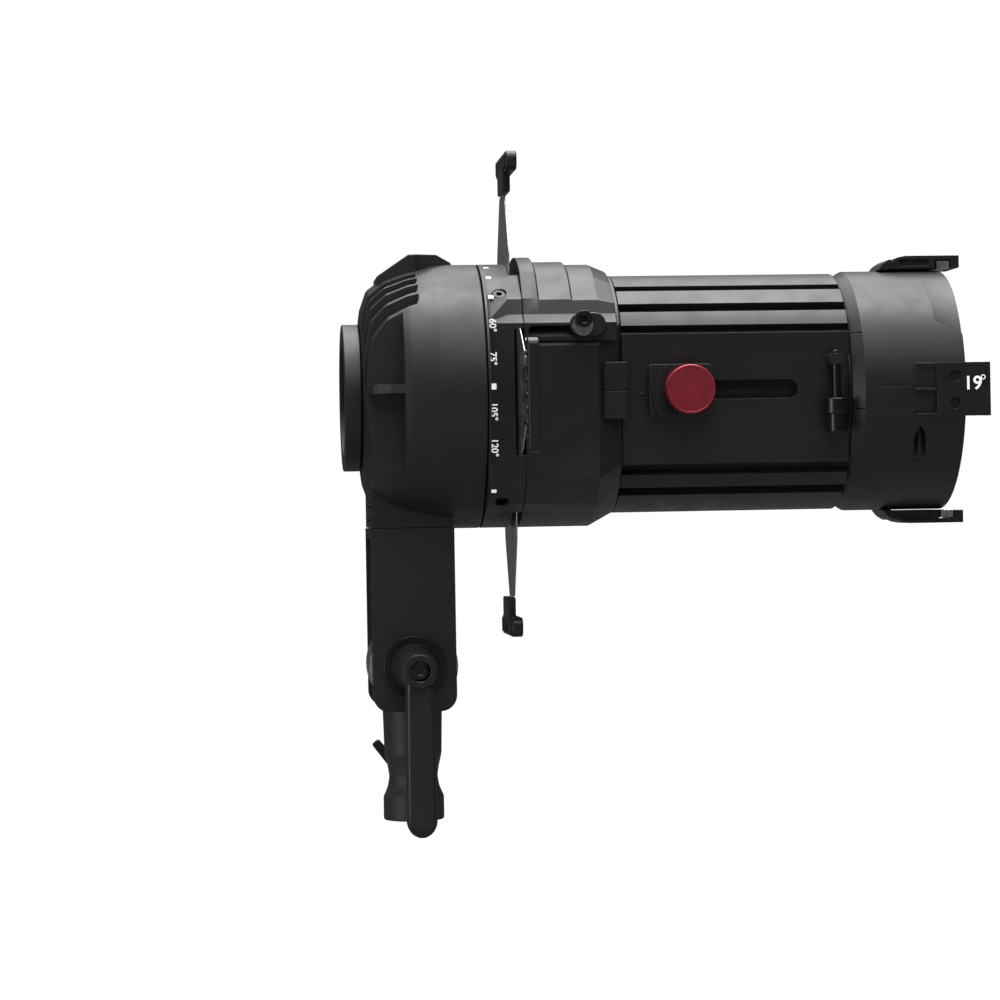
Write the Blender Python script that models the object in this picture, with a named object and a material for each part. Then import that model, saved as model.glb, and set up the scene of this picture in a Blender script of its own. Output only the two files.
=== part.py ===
"""Ellipsoidal spotlight projection head on a tilting yoke with a 16 mm stand receiver.

Lengths in this file are millimetres and angles are degrees; MM scales every mesh to metres as it is made.
The frame: origin at the mouth of the stand socket, +X along the beam, +Z up, -Y the operator's near side.
Around the optical axis, an angle of 0 is up, 90 is the near side, 180 is down and 270 is the far side.
"""

import math

import bmesh
import bpy
from mathutils import Vector

MM = 0.001

# Driving sizes
AXIS_Z = 197.5
TILT_Z = 72.5
GAP = 0.3
BIG_STEPS = 40
MID_STEPS = 24
SMALL_STEPS = 16
TINY_STEPS = 10

# Rear housing
DRUM_R = 61.7
DRUM_FRONT_X = 33.0
HOUSING_REAR_X = -22.0
HOUSING_OUTER = [(-21.5, 41.6), (-18.5, 50.0), (-11.0, 55.5), (-1.0, 58.8), (12.0, 61.2), (21.0, DRUM_R)]
HOUSING_BORE_R = 30.0
FIRST_FIN_Y = 18.5
FIN_PITCH = 6.3
FIN_GAPS = 4
FIN_HALF_THICKNESS = 0.55
FIN_DEPTH = 5.0
FIN_FRONT_X = 3.8
FIN_RAMP_X = -6.5
POCKET_Y = 44.3
POCKET_FRONT_X = -4.0
POCKETS = [(4.0, 62.0), (-45.0, 0.0)]

# The floor between two fins: place along the beam, the housing's radius there, and the depth below it
FIN_FLOOR = [(-28.0, 38.0, FIN_DEPTH), (-21.5, 41.6, FIN_DEPTH), (-18.5, 50.0, FIN_DEPTH)]
FIN_FLOOR += [(-11.0, 55.5, FIN_DEPTH), (FIN_RAMP_X, 57.0, FIN_DEPTH), (FIN_FRONT_X, 59.7, 0.0)]

# Gate, which turns on the rear housing
GATE_REAR_X = 33.3
GATE_JOIN_X = 50.3
GATE_FRONT_X = 95.0
GATE_FLAT_Y = 49.5
GATE_BORE_R = 48.2
GATE_LOW_Z = 39.7
GATE_LOW_EDGE = 33.0
SHUTTER_HALF_WIDTH = 28.4
SHUTTER_FIRST_X = 46.2
SHUTTER_THICKNESS = 0.5
SHUTTER_PITCH = 0.8
SHUTTER_INNER_R = 26.0
HANDLE_INNER_R = 94.5
HEAD_INNER_R = 103.4
HANDLE_OUTER_R = 112.5
HANDLE_SHIFT = -3.4
COVER_INNER_R = 56.3
COVER_FLANK_Y = 52.5
COVER_LOW_Z = 22.9
COVER_SCREW = (76.9, 32.3)
COVER_SLOT = (52.4, 76.6, 27.5, 2.3)
COVER_GUIDE_X = 74.5

# Lens tube
TUBE_R = 55.7
TUBE_REAR_X = 95.3
TUBE_FRONT_X = 200.6
TUBE_FLAT = 46.8
TUBE_ROLL = 5.0
TUBE_BORE_R = 41.2
KNOB_X = 125.3
FOCUS_TRAVEL = 47.0
FOCUS_SLOT_HALF_HEIGHT = 4.3
RING_REAR_X = 200.9
RING_FRONT_X = 253.0
RING_R = 56.6
CLAMP_X = 193.3
CLAMP_Y = -53.5

# Yoke and stand receiver
YOKE_HALF_X = 19.3
YOKE_OUTER_Y = 25.5
YOKE_PLATE = 4.5
YOKE_TOP_Z = 136.4
YOKE_LOW_Z = 51.9
YOKE_CORNER_R = 7.5
BOLT_R = 4.9
BOLT_HOLE_R = 5.3
SOCKET_R = 8.1
LOCK_Z = 14.0

# Where each body turns or slides: body name, parent and the place of its empty
BODIES = [
    ("receiver", None, (0, 0, 0)),
    ("socket_lock", "receiver", (0, 0, LOCK_Z)),
    ("head", "receiver", (0, 0, TILT_Z)),
    ("tilt_bolt", "head", (0, 0, TILT_Z)),
    ("tilt_lever", "tilt_bolt", (0, 0, TILT_Z)),
    ("gate", "head", (0, 0, AXIS_Z)),
    ("shutter_top", "gate", (0, 0, AXIS_Z)),
    ("shutter_near", "gate", (0, 0, AXIS_Z)),
    ("shutter_bottom", "gate", (0, 0, AXIS_Z)),
    ("shutter_far", "gate", (0, 0, AXIS_Z)),
    ("slot_cover", "gate", (0, 0, AXIS_Z)),
    ("cover_screw_near", "slot_cover", (COVER_SCREW[0], 0, AXIS_Z + COVER_SCREW[1])),
    ("cover_screw_far", "slot_cover", (COVER_SCREW[0], 0, AXIS_Z + COVER_SCREW[1])),
    ("tube_latch", "gate", (0, 0, AXIS_Z)),
    ("lens_tube", "gate", (0, 0, AXIS_Z)),
    ("focus_carriage", "lens_tube", (0, 0, AXIS_Z)),
    ("focus_knob", "focus_carriage", (KNOB_X, 0, AXIS_Z)),
    ("front_ring", "lens_tube", (0, 0, AXIS_Z)),
    ("ring_clamp", "lens_tube", (CLAMP_X, CLAMP_Y, AXIS_Z)),
]

COLOURS = {
    "black_casting": ((0.022, 0.022, 0.023), 0.5, 0.0),
    "black_plate": ((0.016, 0.016, 0.017), 0.55, 0.0),
    "black_steel": ((0.03, 0.03, 0.03), 0.35, 1.0),
    "bare_steel": ((0.62, 0.62, 0.6), 0.3, 1.0),
    "red_anodised": ((0.16, 0.014, 0.02), 0.35, 0.8),
    "lens_glass": ((0.9, 0.95, 0.95), 0.03, 0.0),
}


def clear_scene():
    for obj in list(bpy.data.objects):
        bpy.data.objects.remove(obj, do_unlink=True)


def make_materials():
    made = {}
    for name, (colour, roughness, metallic) in COLOURS.items():
        material = bpy.data.materials.new(name)
        material.use_nodes = True
        shader = material.node_tree.nodes["Principled BSDF"]
        shader.inputs["Base Color"].default_value = (*colour, 1.0)
        shader.inputs["Roughness"].default_value = roughness
        shader.inputs["Metallic"].default_value = metallic
        material.diffuse_color = (*colour, 1.0)
        made[name] = material
    return made


def make_empties():
    made = {}
    places = {None: Vector((0, 0, 0))}
    for name, parent, place in BODIES:
        empty = bpy.data.objects.new(name + "_pivot", None)
        bpy.context.scene.collection.objects.link(empty)
        places[name] = Vector(place)
        empty.parent = made.get(parent)
        empty.location = (places[name] - places[parent]) * MM
        made[name] = empty
    return made, places


clear_scene()
MATERIALS = make_materials()
EMPTIES, PLACES = make_empties()


# Shapes, each returned as a bmesh in millimetres in the world's frame


def around(axis, centre, along, radius, angle):
    """A point at this distance and angle from a line through centre along X, Y or Z."""
    turned = math.radians(angle)
    side, rise = radius * math.sin(turned), radius * math.cos(turned)
    offset = {"X": (along, -side, rise), "Y": (side, along, rise), "Z": (rise, side, along)}[axis]
    return Vector(centre) + Vector(offset)


def turned(profile, axis="X", centre=(0, 0, AXIS_Z), steps=BIG_STEPS, span=(0.0, 360.0)):
    """A closed outline of (along, radius) points swept round the axis, all the way or over a span."""
    bm = bmesh.new()
    whole = span[1] - span[0] >= 360.0
    stops = steps if whole else steps + 1
    angles = [span[0] + (span[1] - span[0]) * i / steps for i in range(stops)]
    poles = {a: bm.verts.new(around(axis, centre, a, 0.0, 0.0)) for a, r in profile if r == 0.0}
    rings = []
    for angle in angles:
        places = {(a, r): around(axis, centre, a, r, angle) for a, r in profile if r > 0.0}
        made = {key: bm.verts.new(place) for key, place in places.items()}
        rings.append([made[a, r] if r > 0.0 else poles[a] for a, r in profile])
    count = len(profile)
    pairs = zip(rings, rings[1:] + rings[:1]) if whole else zip(rings, rings[1:])
    for here, there in pairs:
        for i in range(count):
            j = (i + 1) % count
            corners = list(dict.fromkeys((here[i], here[j], there[j], there[i])))
            if len(corners) > 2:
                bm.faces.new(corners)
    if not whole:
        bm.faces.new(rings[0])
        bm.faces.new(rings[-1])
    return bm


def loft(sections):
    """Closed loops with equal numbers of points, joined in order and capped at both ends."""
    bm = bmesh.new()
    loops = [[bm.verts.new(point) for point in section] for section in sections]
    for here, there in zip(loops, loops[1:]):
        for i in range(len(here)):
            j = (i + 1) % len(here)
            bm.faces.new((here[i], here[j], there[j], there[i]))
    bm.faces.new(loops[0])
    bm.faces.new(loops[-1])
    return bm


def prism(outline, axis, low, high):
    """An outline in the plane across the axis, extruded between two places along it."""
    spot = "XYZ".index(axis)
    corners = [(corner[:spot], corner[spot:]) for corner in outline]
    return loft([[Vector((*before, place, *after)) for before, after in corners] for place in (low, high)])


def box(low, high):
    (x0, y0, z0), (x1, y1, z1) = low, high
    return prism([(y0, z0), (y1, z0), (y1, z1), (y0, z1)], "X", x0, x1)


def pin(axis, centre, low, high, radius, steps=SMALL_STEPS):
    return turned([(low, 0.0), (low, radius), (high, radius), (high, 0.0)], axis, centre, steps)


def ring(low, high, inner, outer, axis="X", centre=(0, 0, AXIS_Z), steps=BIG_STEPS):
    return turned([(low, inner), (low, outer), (high, outer), (high, inner)], axis, centre, steps)


def arc(radius, start, end, steps):
    """Points (y, z) on a circle round the optical axis."""
    angles = [start + (end - start) * i / steps for i in range(steps + 1)]
    return [tuple(around("X", (0, 0, AXIS_Z), 0, radius, angle).yz) for angle in angles]


def rounded(half_width, half_height, radius, centre=(0.0, 0.0), steps=4):
    """A rectangle with round corners, as points round its centre."""
    points = []
    for number, (sx, sz) in enumerate([(1, 1), (-1, 1), (-1, -1), (1, -1)]):
        for i in range(steps + 1):
            angle = math.radians(90 * number + 90 * i / steps)
            x = sx * (half_width - radius) + radius * math.cos(angle)
            z = sz * (half_height - radius) + radius * math.sin(angle)
            points.append((centre[0] + x, centre[1] + z))
    return points


# Objects


def add(name, bm, body, material):
    """Makes an object whose origin is its body's pivot, and hangs it there."""
    bmesh.ops.recalc_face_normals(bm, faces=bm.faces)
    for vertex in bm.verts:
        vertex.co = (vertex.co - PLACES[body]) * MM
    mesh = bpy.data.meshes.new(name)
    bm.to_mesh(mesh)
    bm.free()
    mesh.shade_smooth()
    mesh.set_sharp_from_angle(angle=math.radians(30))
    mesh.materials.append(MATERIALS[material])
    obj = bpy.data.objects.new(name, mesh)
    bpy.context.scene.collection.objects.link(obj)
    obj.parent = EMPTIES[body]
    return obj


def work(target, operation, *shapes, solver="EXACT"):
    """Cuts shapes from the target, or joins them to it, with one Boolean each."""
    body = target.parent.name.removesuffix("_pivot")
    for bm in shapes:
        label = f"{target.name}_tool_{len(target.modifiers)}"
        tool = add(label, bm, body, target.data.materials[0].name)
        tool.hide_render = True
        tool.display_type = "WIRE"
        modifier = target.modifiers.new(label, "BOOLEAN")
        modifier.operation = operation
        modifier.solver = solver
        modifier.object = tool


# Stand receiver and its lock


def stand_receiver():
    stem = [(0, SOCKET_R), (0, 14.2), (11, 14.2), (12.5, 13.4), (16, 12.0), (20.4, 11.3), (25, 12.0)]
    stem += [(31, 13.4), (52, 13.9), (TILT_Z, 13.9), (TILT_Z, 0.0), (38, 0.0), (38, SOCKET_R)]
    receiver = add("stand_receiver", turned(stem, "Z", (0, 0, 0), MID_STEPS), "receiver", "black_casting")
    pivot = (0, 0, TILT_Z)
    work(receiver, "UNION", pin("Y", pivot, -19.4, 19.4, 14.3, MID_STEPS))
    work(receiver, "DIFFERENCE", pin("Y", pivot, -22, 22, BOLT_HOLE_R), pin("Y", (0, 0, LOCK_Z), 4, 20, 3.2))
    for name, side in (("friction_disc_near", -1), ("friction_disc_far", 1)):
        disc = ring(side * 19.7, side * 20.7, 5.6, 20.4, "Y", pivot, MID_STEPS)
        add(name, disc, "receiver", "bare_steel")


def socket_lock():
    centre = (0, 0, LOCK_Z)
    shank = [(8.5, 0.0), (8.5, 2.9), (26.3, 2.9), (26.3, 5.5), (29.5, 5.0), (29.5, 0.0)]
    add("socket_lock_screw", turned(shank, "Y", centre, SMALL_STEPS), "socket_lock", "black_steel")
    hub = ring(15.0, 26.0, 3.3, 6.5, "Y", centre, SMALL_STEPS)
    arm = add("socket_lock_arm", hub, "socket_lock", "black_steel")
    reach, lean = 26.8, math.radians(128.5)
    along = Vector((math.cos(lean), 0, math.sin(lean)))
    across = Vector((-along.z, 0, along.x)) * 2.6
    ends = [Vector(centre) + along * 4.5, Vector(centre) + along * reach]
    section = [ends[0] - across, ends[1] - across * 0.8, ends[1] + across * 0.8, ends[0] + across]
    bar = loft([[p + Vector((0, y, 0)) for p in section] for y in (18.0, 23.0)])
    work(arm, "UNION", bar)


# Yoke and tilt clamp


def yoke():
    inner = YOKE_OUTER_Y - YOKE_PLATE
    web_low = YOKE_TOP_Z - YOKE_PLATE
    outline = [(-YOKE_OUTER_Y, YOKE_LOW_Z), (-inner, YOKE_LOW_Z), (-inner, web_low), (inner, web_low)]
    outline += [(inner, YOKE_LOW_Z), (YOKE_OUTER_Y, YOKE_LOW_Z)]
    outline += [(YOKE_OUTER_Y, YOKE_TOP_Z), (-YOKE_OUTER_Y, YOKE_TOP_Z)]
    bracket = add("yoke_bracket", prism(outline, "X", -YOKE_HALF_X, YOKE_HALF_X), "head", "black_plate")
    beyond = YOKE_HALF_X + 1.0
    for side in (-1, 1):
        corner = (side * (YOKE_HALF_X - YOKE_CORNER_R), YOKE_LOW_Z + YOKE_CORNER_R)
        points = [(side * beyond, corner[1]), (side * beyond, YOKE_LOW_Z - 1), (corner[0], YOKE_LOW_Z - 1)]
        for angle in (0.0, 22.5, 45.0, 67.5, 90.0):
            turn = math.radians(angle)
            x = corner[0] + side * YOKE_CORNER_R * math.sin(turn)
            points.append((x, corner[1] - YOKE_CORNER_R * math.cos(turn)))
        work(bracket, "DIFFERENCE", prism(points, "Y", -30, 30))
    work(bracket, "DIFFERENCE", pin("Y", (0, 0, TILT_Z), -30, 30, BOLT_HOLE_R))
    for name, x in (("yoke_screw_front", 10.0), ("yoke_screw_rear", -10.0)):
        work(bracket, "DIFFERENCE", pin("Z", (x, 0, 0), web_low - 2, YOKE_TOP_Z + 2, 3.3, TINY_STEPS))
        head_low, head_high = web_low - 4.3, web_low - GAP
        shank = [(head_low, 0.0), (head_low, 5.0), (head_high, 5.0)]
        shank += [(head_high, 3.0), (141.0, 3.0), (141.0, 0.0)]
        add(name, turned(shank, "Z", (x, 0, 0), TINY_STEPS), "head", "black_steel")


def tilt_clamp():
    pivot = (0, 0, TILT_Z)
    turns = [math.radians(60 * i) for i in range(6)]
    hexagon = [(9.8 * math.cos(turn), TILT_Z + 9.8 * math.sin(turn)) for turn in turns]
    nut = add("tilt_nut", prism(hexagon, "Y", YOKE_OUTER_Y + GAP, 32.5), "head", "black_steel")
    work(nut, "DIFFERENCE", pin("Y", pivot, 20, 36, BOLT_HOLE_R))
    shaft = [(-53.0, 2.3), (-53.0, BOLT_R), (34.0, BOLT_R), (34.0, 0.0), (-45.5, 0.0), (-45.5, 2.3)]
    add("tilt_bolt", turned(shaft, "Y", pivot, SMALL_STEPS), "tilt_bolt", "black_steel")
    washer = ring(-27.2, -25.8, BOLT_HOLE_R, 14.4, "Y", pivot, MID_STEPS)
    add("tilt_washer", washer, "tilt_bolt", "black_steel")
    screw = [(-62.5, 0.0), (-62.5, 3.9), (-60.4, 3.9), (-60.4, 2.0), (-47.5, 2.0), (-47.5, 0.0)]
    add("tilt_lever_screw", turned(screw, "Y", pivot, SMALL_STEPS), "tilt_bolt", "black_steel")
    hub = [(-27.5, BOLT_HOLE_R), (-27.5, 11.2), (-30.5, 11.2), (-34.0, 10.0), (-54.0, 8.4), (-63.0, 7.6)]
    hub += [(-63.0, 4.6), (-56.0, 4.6), (-56.0, 2.4), (-54.5, 2.4), (-54.5, BOLT_HOLE_R)]
    lever = add("tilt_lever", turned(hub, "Y", pivot, MID_STEPS), "tilt_lever", "black_casting")
    half, tip_z, top_z = 6.9, 4.2, TILT_Z - 6.3
    turns = [math.radians(angle) for angle in range(0, 181, 30)]
    outline = [(-half, top_z)] + [(-half * math.cos(turn), tip_z - half * math.sin(turn)) for turn in turns]
    outline += [(half, top_z)]
    work(lever, "UNION", prism(outline, "Y", -61.6, -52.6))
    add("tilt_lever_spring", ring(-57.9, -56.3, 2.7, 4.2, "Y", pivot, SMALL_STEPS), "tilt_lever", "bare_steel")


# Rear housing and condenser


def boss_section(x, half_width, flat_z, arc_r, up):
    """A block's cross section: a flat face, upright sides, and an arc that stays inside the housing's wall."""
    spread = math.degrees(math.asin(half_width / arc_r))
    middle = 0.0 if up else 180.0
    points = arc(arc_r, middle + spread, middle - spread, 6)
    flat = [(points[-1][0], flat_z), (points[0][0], flat_z)]
    return [Vector((x, y, z)) for y, z in points + flat]


def ordered(corners):
    """The low and the high corner of the box between any two opposite corners."""
    return tuple(map(min, zip(*corners))), tuple(map(max, zip(*corners)))


def fin_gap(near_y, far_y):
    """The space between two upright fins: its floor follows the housing's outline at the fins' depth."""
    outline = [(FIN_FRONT_X, AXIS_Z + 72.0), (-28.0, AXIS_Z + 72.0)]
    middle = (near_y + far_y) / 2
    for x, outer_r, depth in FIN_FLOOR:
        floor = outer_r - depth
        outline.append((x, AXIS_Z + math.sqrt(max(floor ** 2 - middle ** 2, 0.0))))
    return prism(outline, "Y", min(near_y, far_y), max(near_y, far_y))


def rear_housing():
    rear = HOUSING_REAR_X
    shell = [(rear, HOUSING_BORE_R), (rear, 38.0), *HOUSING_OUTER, (DRUM_FRONT_X - GAP, DRUM_R)]
    shell += [(DRUM_FRONT_X - GAP, 57.6), (13.0, 57.6), (13.0, 50.5), (2.0, 43.0)]
    shell += [(-9.0, 43.0), (-18.0, 38.5), (-18.0, HOUSING_BORE_R)]
    housing = add("rear_housing", turned(shell), "head", "black_casting")
    for side in (-1, 1):
        for number in range(FIN_GAPS):
            near = FIRST_FIN_Y + FIN_PITCH * number + FIN_HALF_THICKNESS
            far = near + FIN_PITCH - 2 * FIN_HALF_THICKNESS
            work(housing, "DIFFERENCE", fin_gap(side * near, side * far))
        for low, high in POCKETS:
            corners = ((-30, side * POCKET_Y, AXIS_Z + low), (POCKET_FRONT_X, side * 70, AXIS_Z + high))
            work(housing, "DIFFERENCE", box(*ordered(corners)))
    block = [(-14.0, 15.5, 55.8, 49.5), (0.8, 15.5, 65.8, 56.2), (4.0, 15.5, 65.9, 57.0)]
    block += [(14.2, 9.0, 66.1, 59.4), (21.6, 4.0, 62.4, 59.8)]
    work(housing, "UNION", loft([boss_section(x, w, AXIS_Z + z, r, True) for x, w, z, r in block]))
    foot = [(-19.0, 47.5), (-10.0, 52.0), (0.0, 56.0), (12.0, 59.2), (19.0, 59.6)]
    work(housing, "UNION", loft([boss_section(x, 25.2, YOKE_TOP_Z + GAP, r, False) for x, r in foot]))
    reach = YOKE_HALF_X + GAP
    work(housing, "DIFFERENCE", box((-reach, -27, 120), (reach, 27, YOKE_TOP_Z + GAP)))
    for x in (-10.0, 10.0):
        work(housing, "DIFFERENCE", pin("Z", (x, 0, 0), YOKE_TOP_Z - 3, 141.6, 3.3, TINY_STEPS))


def optic(rear, front, radius, sag_rear, sag_front):
    """A lens, whose two faces fall back by their sags from the poles to the edge."""
    turns = (0.0, 0.25, 0.5, 0.75, 1.0)
    back = [(rear + sag_rear * t * t, radius * t) for t in turns]
    face = [(front - sag_front * t * t, radius * t) for t in reversed(turns)]
    return turned(back + face, steps=MID_STEPS)


def condenser():
    holder = [(-14.0, 35.2), (-14.0, 38.0), (13.4, 38.0), (13.4, 57.2), (16.4, 57.2)]
    holder += [(16.4, 38.0), (28.0, 38.0), (28.0, 35.2)]
    add("condenser_holder", turned(holder), "head", "black_casting")
    add("condenser_lens_rear", optic(-12.0, -1.0, 34.8, 0.0, 8.0), "head", "lens_glass")
    add("condenser_lens_front", optic(9.0, 25.6, 34.8, 6.0, 6.6), "head", "lens_glass")
    add("condenser_retainer_rear", ring(-13.8, -12.4, 31.0, 34.8, steps=MID_STEPS), "head", "black_steel")
    add("condenser_retainer_front", ring(26.0, 27.6, 31.0, 34.8, steps=MID_STEPS), "head", "black_steel")
    flange = [(-30.3, 27.0), (-30.3, 34.3), (-22.3, 34.3), (-22.3, 29.6), (-18.6, 29.6), (-18.6, 27.0)]
    add("mount_flange", turned(flange), "head", "black_casting")
    add("bearing_ring", ring(28.5, 32.4, 55.3, 57.2), "head", "bare_steel")


# Gate


def gate_section(x, top_r, flat_y, low_z, low_edge, bottom_r):
    """The gate casting's cross section: round above and below, flat at the near and far sides."""
    corner = math.degrees(math.asin(flat_y / top_r))
    foot = math.degrees(math.asin(low_edge / bottom_r))
    points = arc(top_r, -corner, corner, 16)
    points += [(-flat_y, AXIS_Z - low_z)]
    points += arc(bottom_r, 180 - foot, 180 + foot, 10)
    points += [(flat_y, AXIS_Z - low_z)]
    return [Vector((x, y, z)) for y, z in points]


def faceted_section(x, spread):
    """The scale ring's cross section: the facets at its upper corners open out as spread goes from 0 to 1."""
    closed, opened = [(49.3, 31.7), (49.4, 31.45)], [(44.6, 42.5), (46.6, 35.3)]
    steps = [tuple(a + (b - a) * spread for a, b in zip(*pair)) for pair in zip(closed, opened)]
    steps = [(-y, z) for y, z in (*steps, (GATE_FLAT_Y, 31.2), (GATE_FLAT_Y, -GATE_LOW_Z))]
    points = arc(DRUM_R, -30.5, 30.5, 8) + [(y, AXIS_Z + z) for y, z in steps]
    foot = math.degrees(math.asin(GATE_LOW_EDGE / DRUM_R))
    points += arc(DRUM_R, 180 - foot, 180 + foot, 10)
    points += [(-y, AXIS_Z + z) for y, z in reversed(steps)]
    return [Vector((x, y, z)) for y, z in points]


def shutter_window(number, low_r, high_r, low_x, high_x, half):
    """A box across a shutter opening: number 0 is the top, 1 the near side, 2 the bottom, 3 the far side."""
    corners = {
        0: ((-half, low_r), (half, high_r)),
        1: ((-high_r, -half), (-low_r, half)),
        2: ((-half, -high_r), (half, -low_r)),
        3: ((low_r, -half), (high_r, half)),
    }[number]
    return box((low_x, corners[0][0], AXIS_Z + corners[0][1]), (high_x, corners[1][0], AXIS_Z + corners[1][1]))


def radial_pin(x, angle, low_r, high_r, radius):
    low, high = (around("X", (0, 0, AXIS_Z), x, r, angle) for r in (low_r, high_r))
    along = (high - low).normalized()
    across = Vector((1, 0, 0))
    other = along.cross(across)
    turns = [math.radians(360 * i / TINY_STEPS) for i in range(TINY_STEPS)]
    circle = [(across * math.cos(turn) + other * math.sin(turn)) * radius for turn in turns]
    return loft([[end + offset for offset in circle] for end in (low, high)])


def gate():
    hub = [(28.5, 49.0), (28.5, 55.0), (GATE_REAR_X, 55.0)]
    hub += [(GATE_REAR_X, DRUM_R), (34.4, DRUM_R), (34.4, 49.0)]
    scale = add("gate_ring", turned(hub), "gate", "black_casting")
    stations = [(33.9, 0.0), (43.8, 1.0), (GATE_JOIN_X, 1.0)]
    work(scale, "UNION", loft([faceted_section(*station) for station in stations]), solver="MANIFOLD")
    work(scale, "DIFFERENCE", pin("X", (0, 0, AXIS_Z), 26, 52, GATE_BORE_R, BIG_STEPS), solver="MANIFOLD")
    for number in range(4):
        window = shutter_window(number, 37.6, 70, 46.0, 52.0, SHUTTER_HALF_WIDTH + GAP)
        work(scale, "DIFFERENCE", window, solver="MANIFOLD")
    for name, angle in (("near_upper", 40), ("near_lower", 142), ("far_lower", 218), ("far_upper", 320)):
        work(scale, "DIFFERENCE", radial_pin(40.5, angle, 51.6, 68.0, 3.3), solver="MANIFOLD")
        add("gate_screw_" + name, radial_pin(40.5, angle, 52.0, 60.4, 3.0), "gate", "black_steel")

    body = (56.0, GATE_FLAT_Y, GATE_LOW_Z, GATE_LOW_EDGE, DRUM_R)
    nose = (55.9, 46.6, 33.5, 29.5, 55.7)
    sections = [gate_section(50.6, *body), gate_section(85.0, *body), gate_section(GATE_FRONT_X, *nose)]
    housing = add("gate_housing", loft(sections), "gate", "black_casting")
    bore = [(50.0, 0.0), (50.0, 46.0), (80.0, 46.0), (80.0, 43.9), (96.0, 43.9), (96.0, 0.0)]
    work(housing, "DIFFERENCE", turned(bore))
    work(housing, "DIFFERENCE", box((52.2, -38, AXIS_Z - 20), (57.8, 38, AXIS_Z + 62)))
    guide = (COVER_GUIDE_X, 0, AXIS_Z + COVER_SLOT[2])
    for low_y, high_y in ((-52.0, -46.6), (46.6, 52.0)):
        work(housing, "UNION", pin("Y", guide, low_y, high_y, 1.8, TINY_STEPS))
    add("aperture_plate", ring(44.6, 45.4, 27.0, 47.8), "gate", "black_steel")
    add("shutter_retainer", ring(49.6, 50.2, 27.0, 47.8), "gate", "black_steel")


def shutters():
    for number, side in enumerate(("top", "near", "bottom", "far")):
        turn = math.radians(90 * number)

        def placed(across, radius, x):
            side_y = -radius * math.sin(turn) + across * math.cos(turn)
            rise = radius * math.cos(turn) + across * math.sin(turn)
            return Vector((x, side_y, AXIS_Z + rise))

        low_x = SHUTTER_FIRST_X + SHUTTER_PITCH * number
        half = SHUTTER_HALF_WIDTH
        end_r = HANDLE_INNER_R - GAP
        outline = [(-half, SHUTTER_INNER_R), (half, SHUTTER_INNER_R), (half, 66.0)]
        outline += [(11.5, end_r), (-11.5, end_r), (-half, 66.0)]
        blade = loft([[placed(w, r, x) for w, r in outline] for x in (low_x, low_x + SHUTTER_THICKNESS)])
        add(f"shutter_{side}_blade", blade, f"shutter_{side}", "bare_steel")
        neck = [(-12.5, HANDLE_INNER_R), (12.5, HANDLE_INNER_R), (12.5, 106.0), (-12.5, 106.0)]
        solid = loft([[placed(w + HANDLE_SHIFT, r, x) for w, r in neck] for x in (45.1, 48.8)])
        handle = add(f"shutter_{side}_handle", solid, f"shutter_{side}", "black_casting")
        middle, half_height = (HEAD_INNER_R + HANDLE_OUTER_R) / 2, (HANDLE_OUTER_R - HEAD_INNER_R) / 2
        head = rounded(25.0, half_height, 3.0, (HANDLE_SHIFT, middle), 3)
        work(handle, "UNION", loft([[placed(w, r, x) for w, r in head] for x in (45.7, 50.9)]))


def cover_section(x, outer_r, corner_z, flank):
    """The slot cover's cross section: a hood over the gate, with flanks down both sides."""
    corner_y = 46.6 - 0.32 * (corner_z - 35.3)
    half = [(corner_y, corner_z), (46.6, 35.3), (flank, 31.2), (flank, COVER_LOW_Z)]
    outer = arc(outer_r, 30.5, -30.5, 8)
    end = math.degrees(math.asin((COVER_FLANK_Y - 2.2) / COVER_INNER_R))
    inner = arc(COVER_INNER_R, -end, end, 14)
    points = [(-y, AXIS_Z + z) for y, z in reversed(half)] + outer + [(y, AXIS_Z + z) for y, z in half]
    points += [(inner[0][0], AXIS_Z + COVER_LOW_Z)] + inner + [(inner[-1][0], AXIS_Z + COVER_LOW_Z)]
    return [Vector((x, y, z)) for y, z in points]


def slot_cover():
    stops = [(50.6, 64.8, 42.8), (57.6, 64.8, 42.8), (58.8, 62.6, 42.2), (72.9, 62.6, 42.2)]
    stops += [(74.1, 61.2, 41.8), (85.1, 61.2, 41.8)]
    stops = [(*stop, COVER_FLANK_Y) for stop in stops] + [(93.0, 57.9, 40.2, 51.4)]
    cover = add("slot_cover", loft([cover_section(*stop) for stop in stops]), "slot_cover", "black_casting")
    slot_rear, slot_front, slot_z, slot_half = COVER_SLOT
    centre = (COVER_SCREW[0], 0, AXIS_Z + COVER_SCREW[1])
    for low_y, high_y in ((-60, -44), (44, 60)):
        low = (slot_rear, low_y, AXIS_Z + slot_z - slot_half)
        high = (slot_front, high_y, AXIS_Z + slot_z + slot_half)
        work(cover, "DIFFERENCE", box(low, high), pin("Y", centre, low_y, high_y, 2.0, TINY_STEPS))
    for name, side in (("near", -1), ("far", 1)):
        shank = [(47.4, 0.0), (47.4, 1.8), (55.7, 1.8), (55.7, 3.9), (60.5, 3.9), (60.5, 0.0)]
        screw = turned([(side * a, r) for a, r in shank], "Y", centre, SMALL_STEPS)
        add(f"cover_screw_{name}", screw, f"cover_screw_{name}", "black_steel")
        outline = rounded(8.25, 5.5, 5.3, (79.3, AXIS_Z + 30.0), 4)
        plate = prism(outline, "Y", *sorted((side * 52.8, side * 55.4)))
        clamp = add(f"cover_clamp_{name}", plate, "slot_cover", "black_casting")
        work(clamp, "DIFFERENCE", pin("Y", centre, *sorted((side * 50, side * 58)), 2.2, TINY_STEPS))


def tube_latch():
    outline = [(86.0, -49.9), (98.0, -49.9), (98.0, -52.0), (96.8, -52.8), (87.2, -52.8), (86.0, -52.0)]
    latch = prism(outline, "Z", AXIS_Z - 13.0, AXIS_Z + 13.0)
    add("tube_latch", latch, "tube_latch", "black_casting")


# Lens tube


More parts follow.
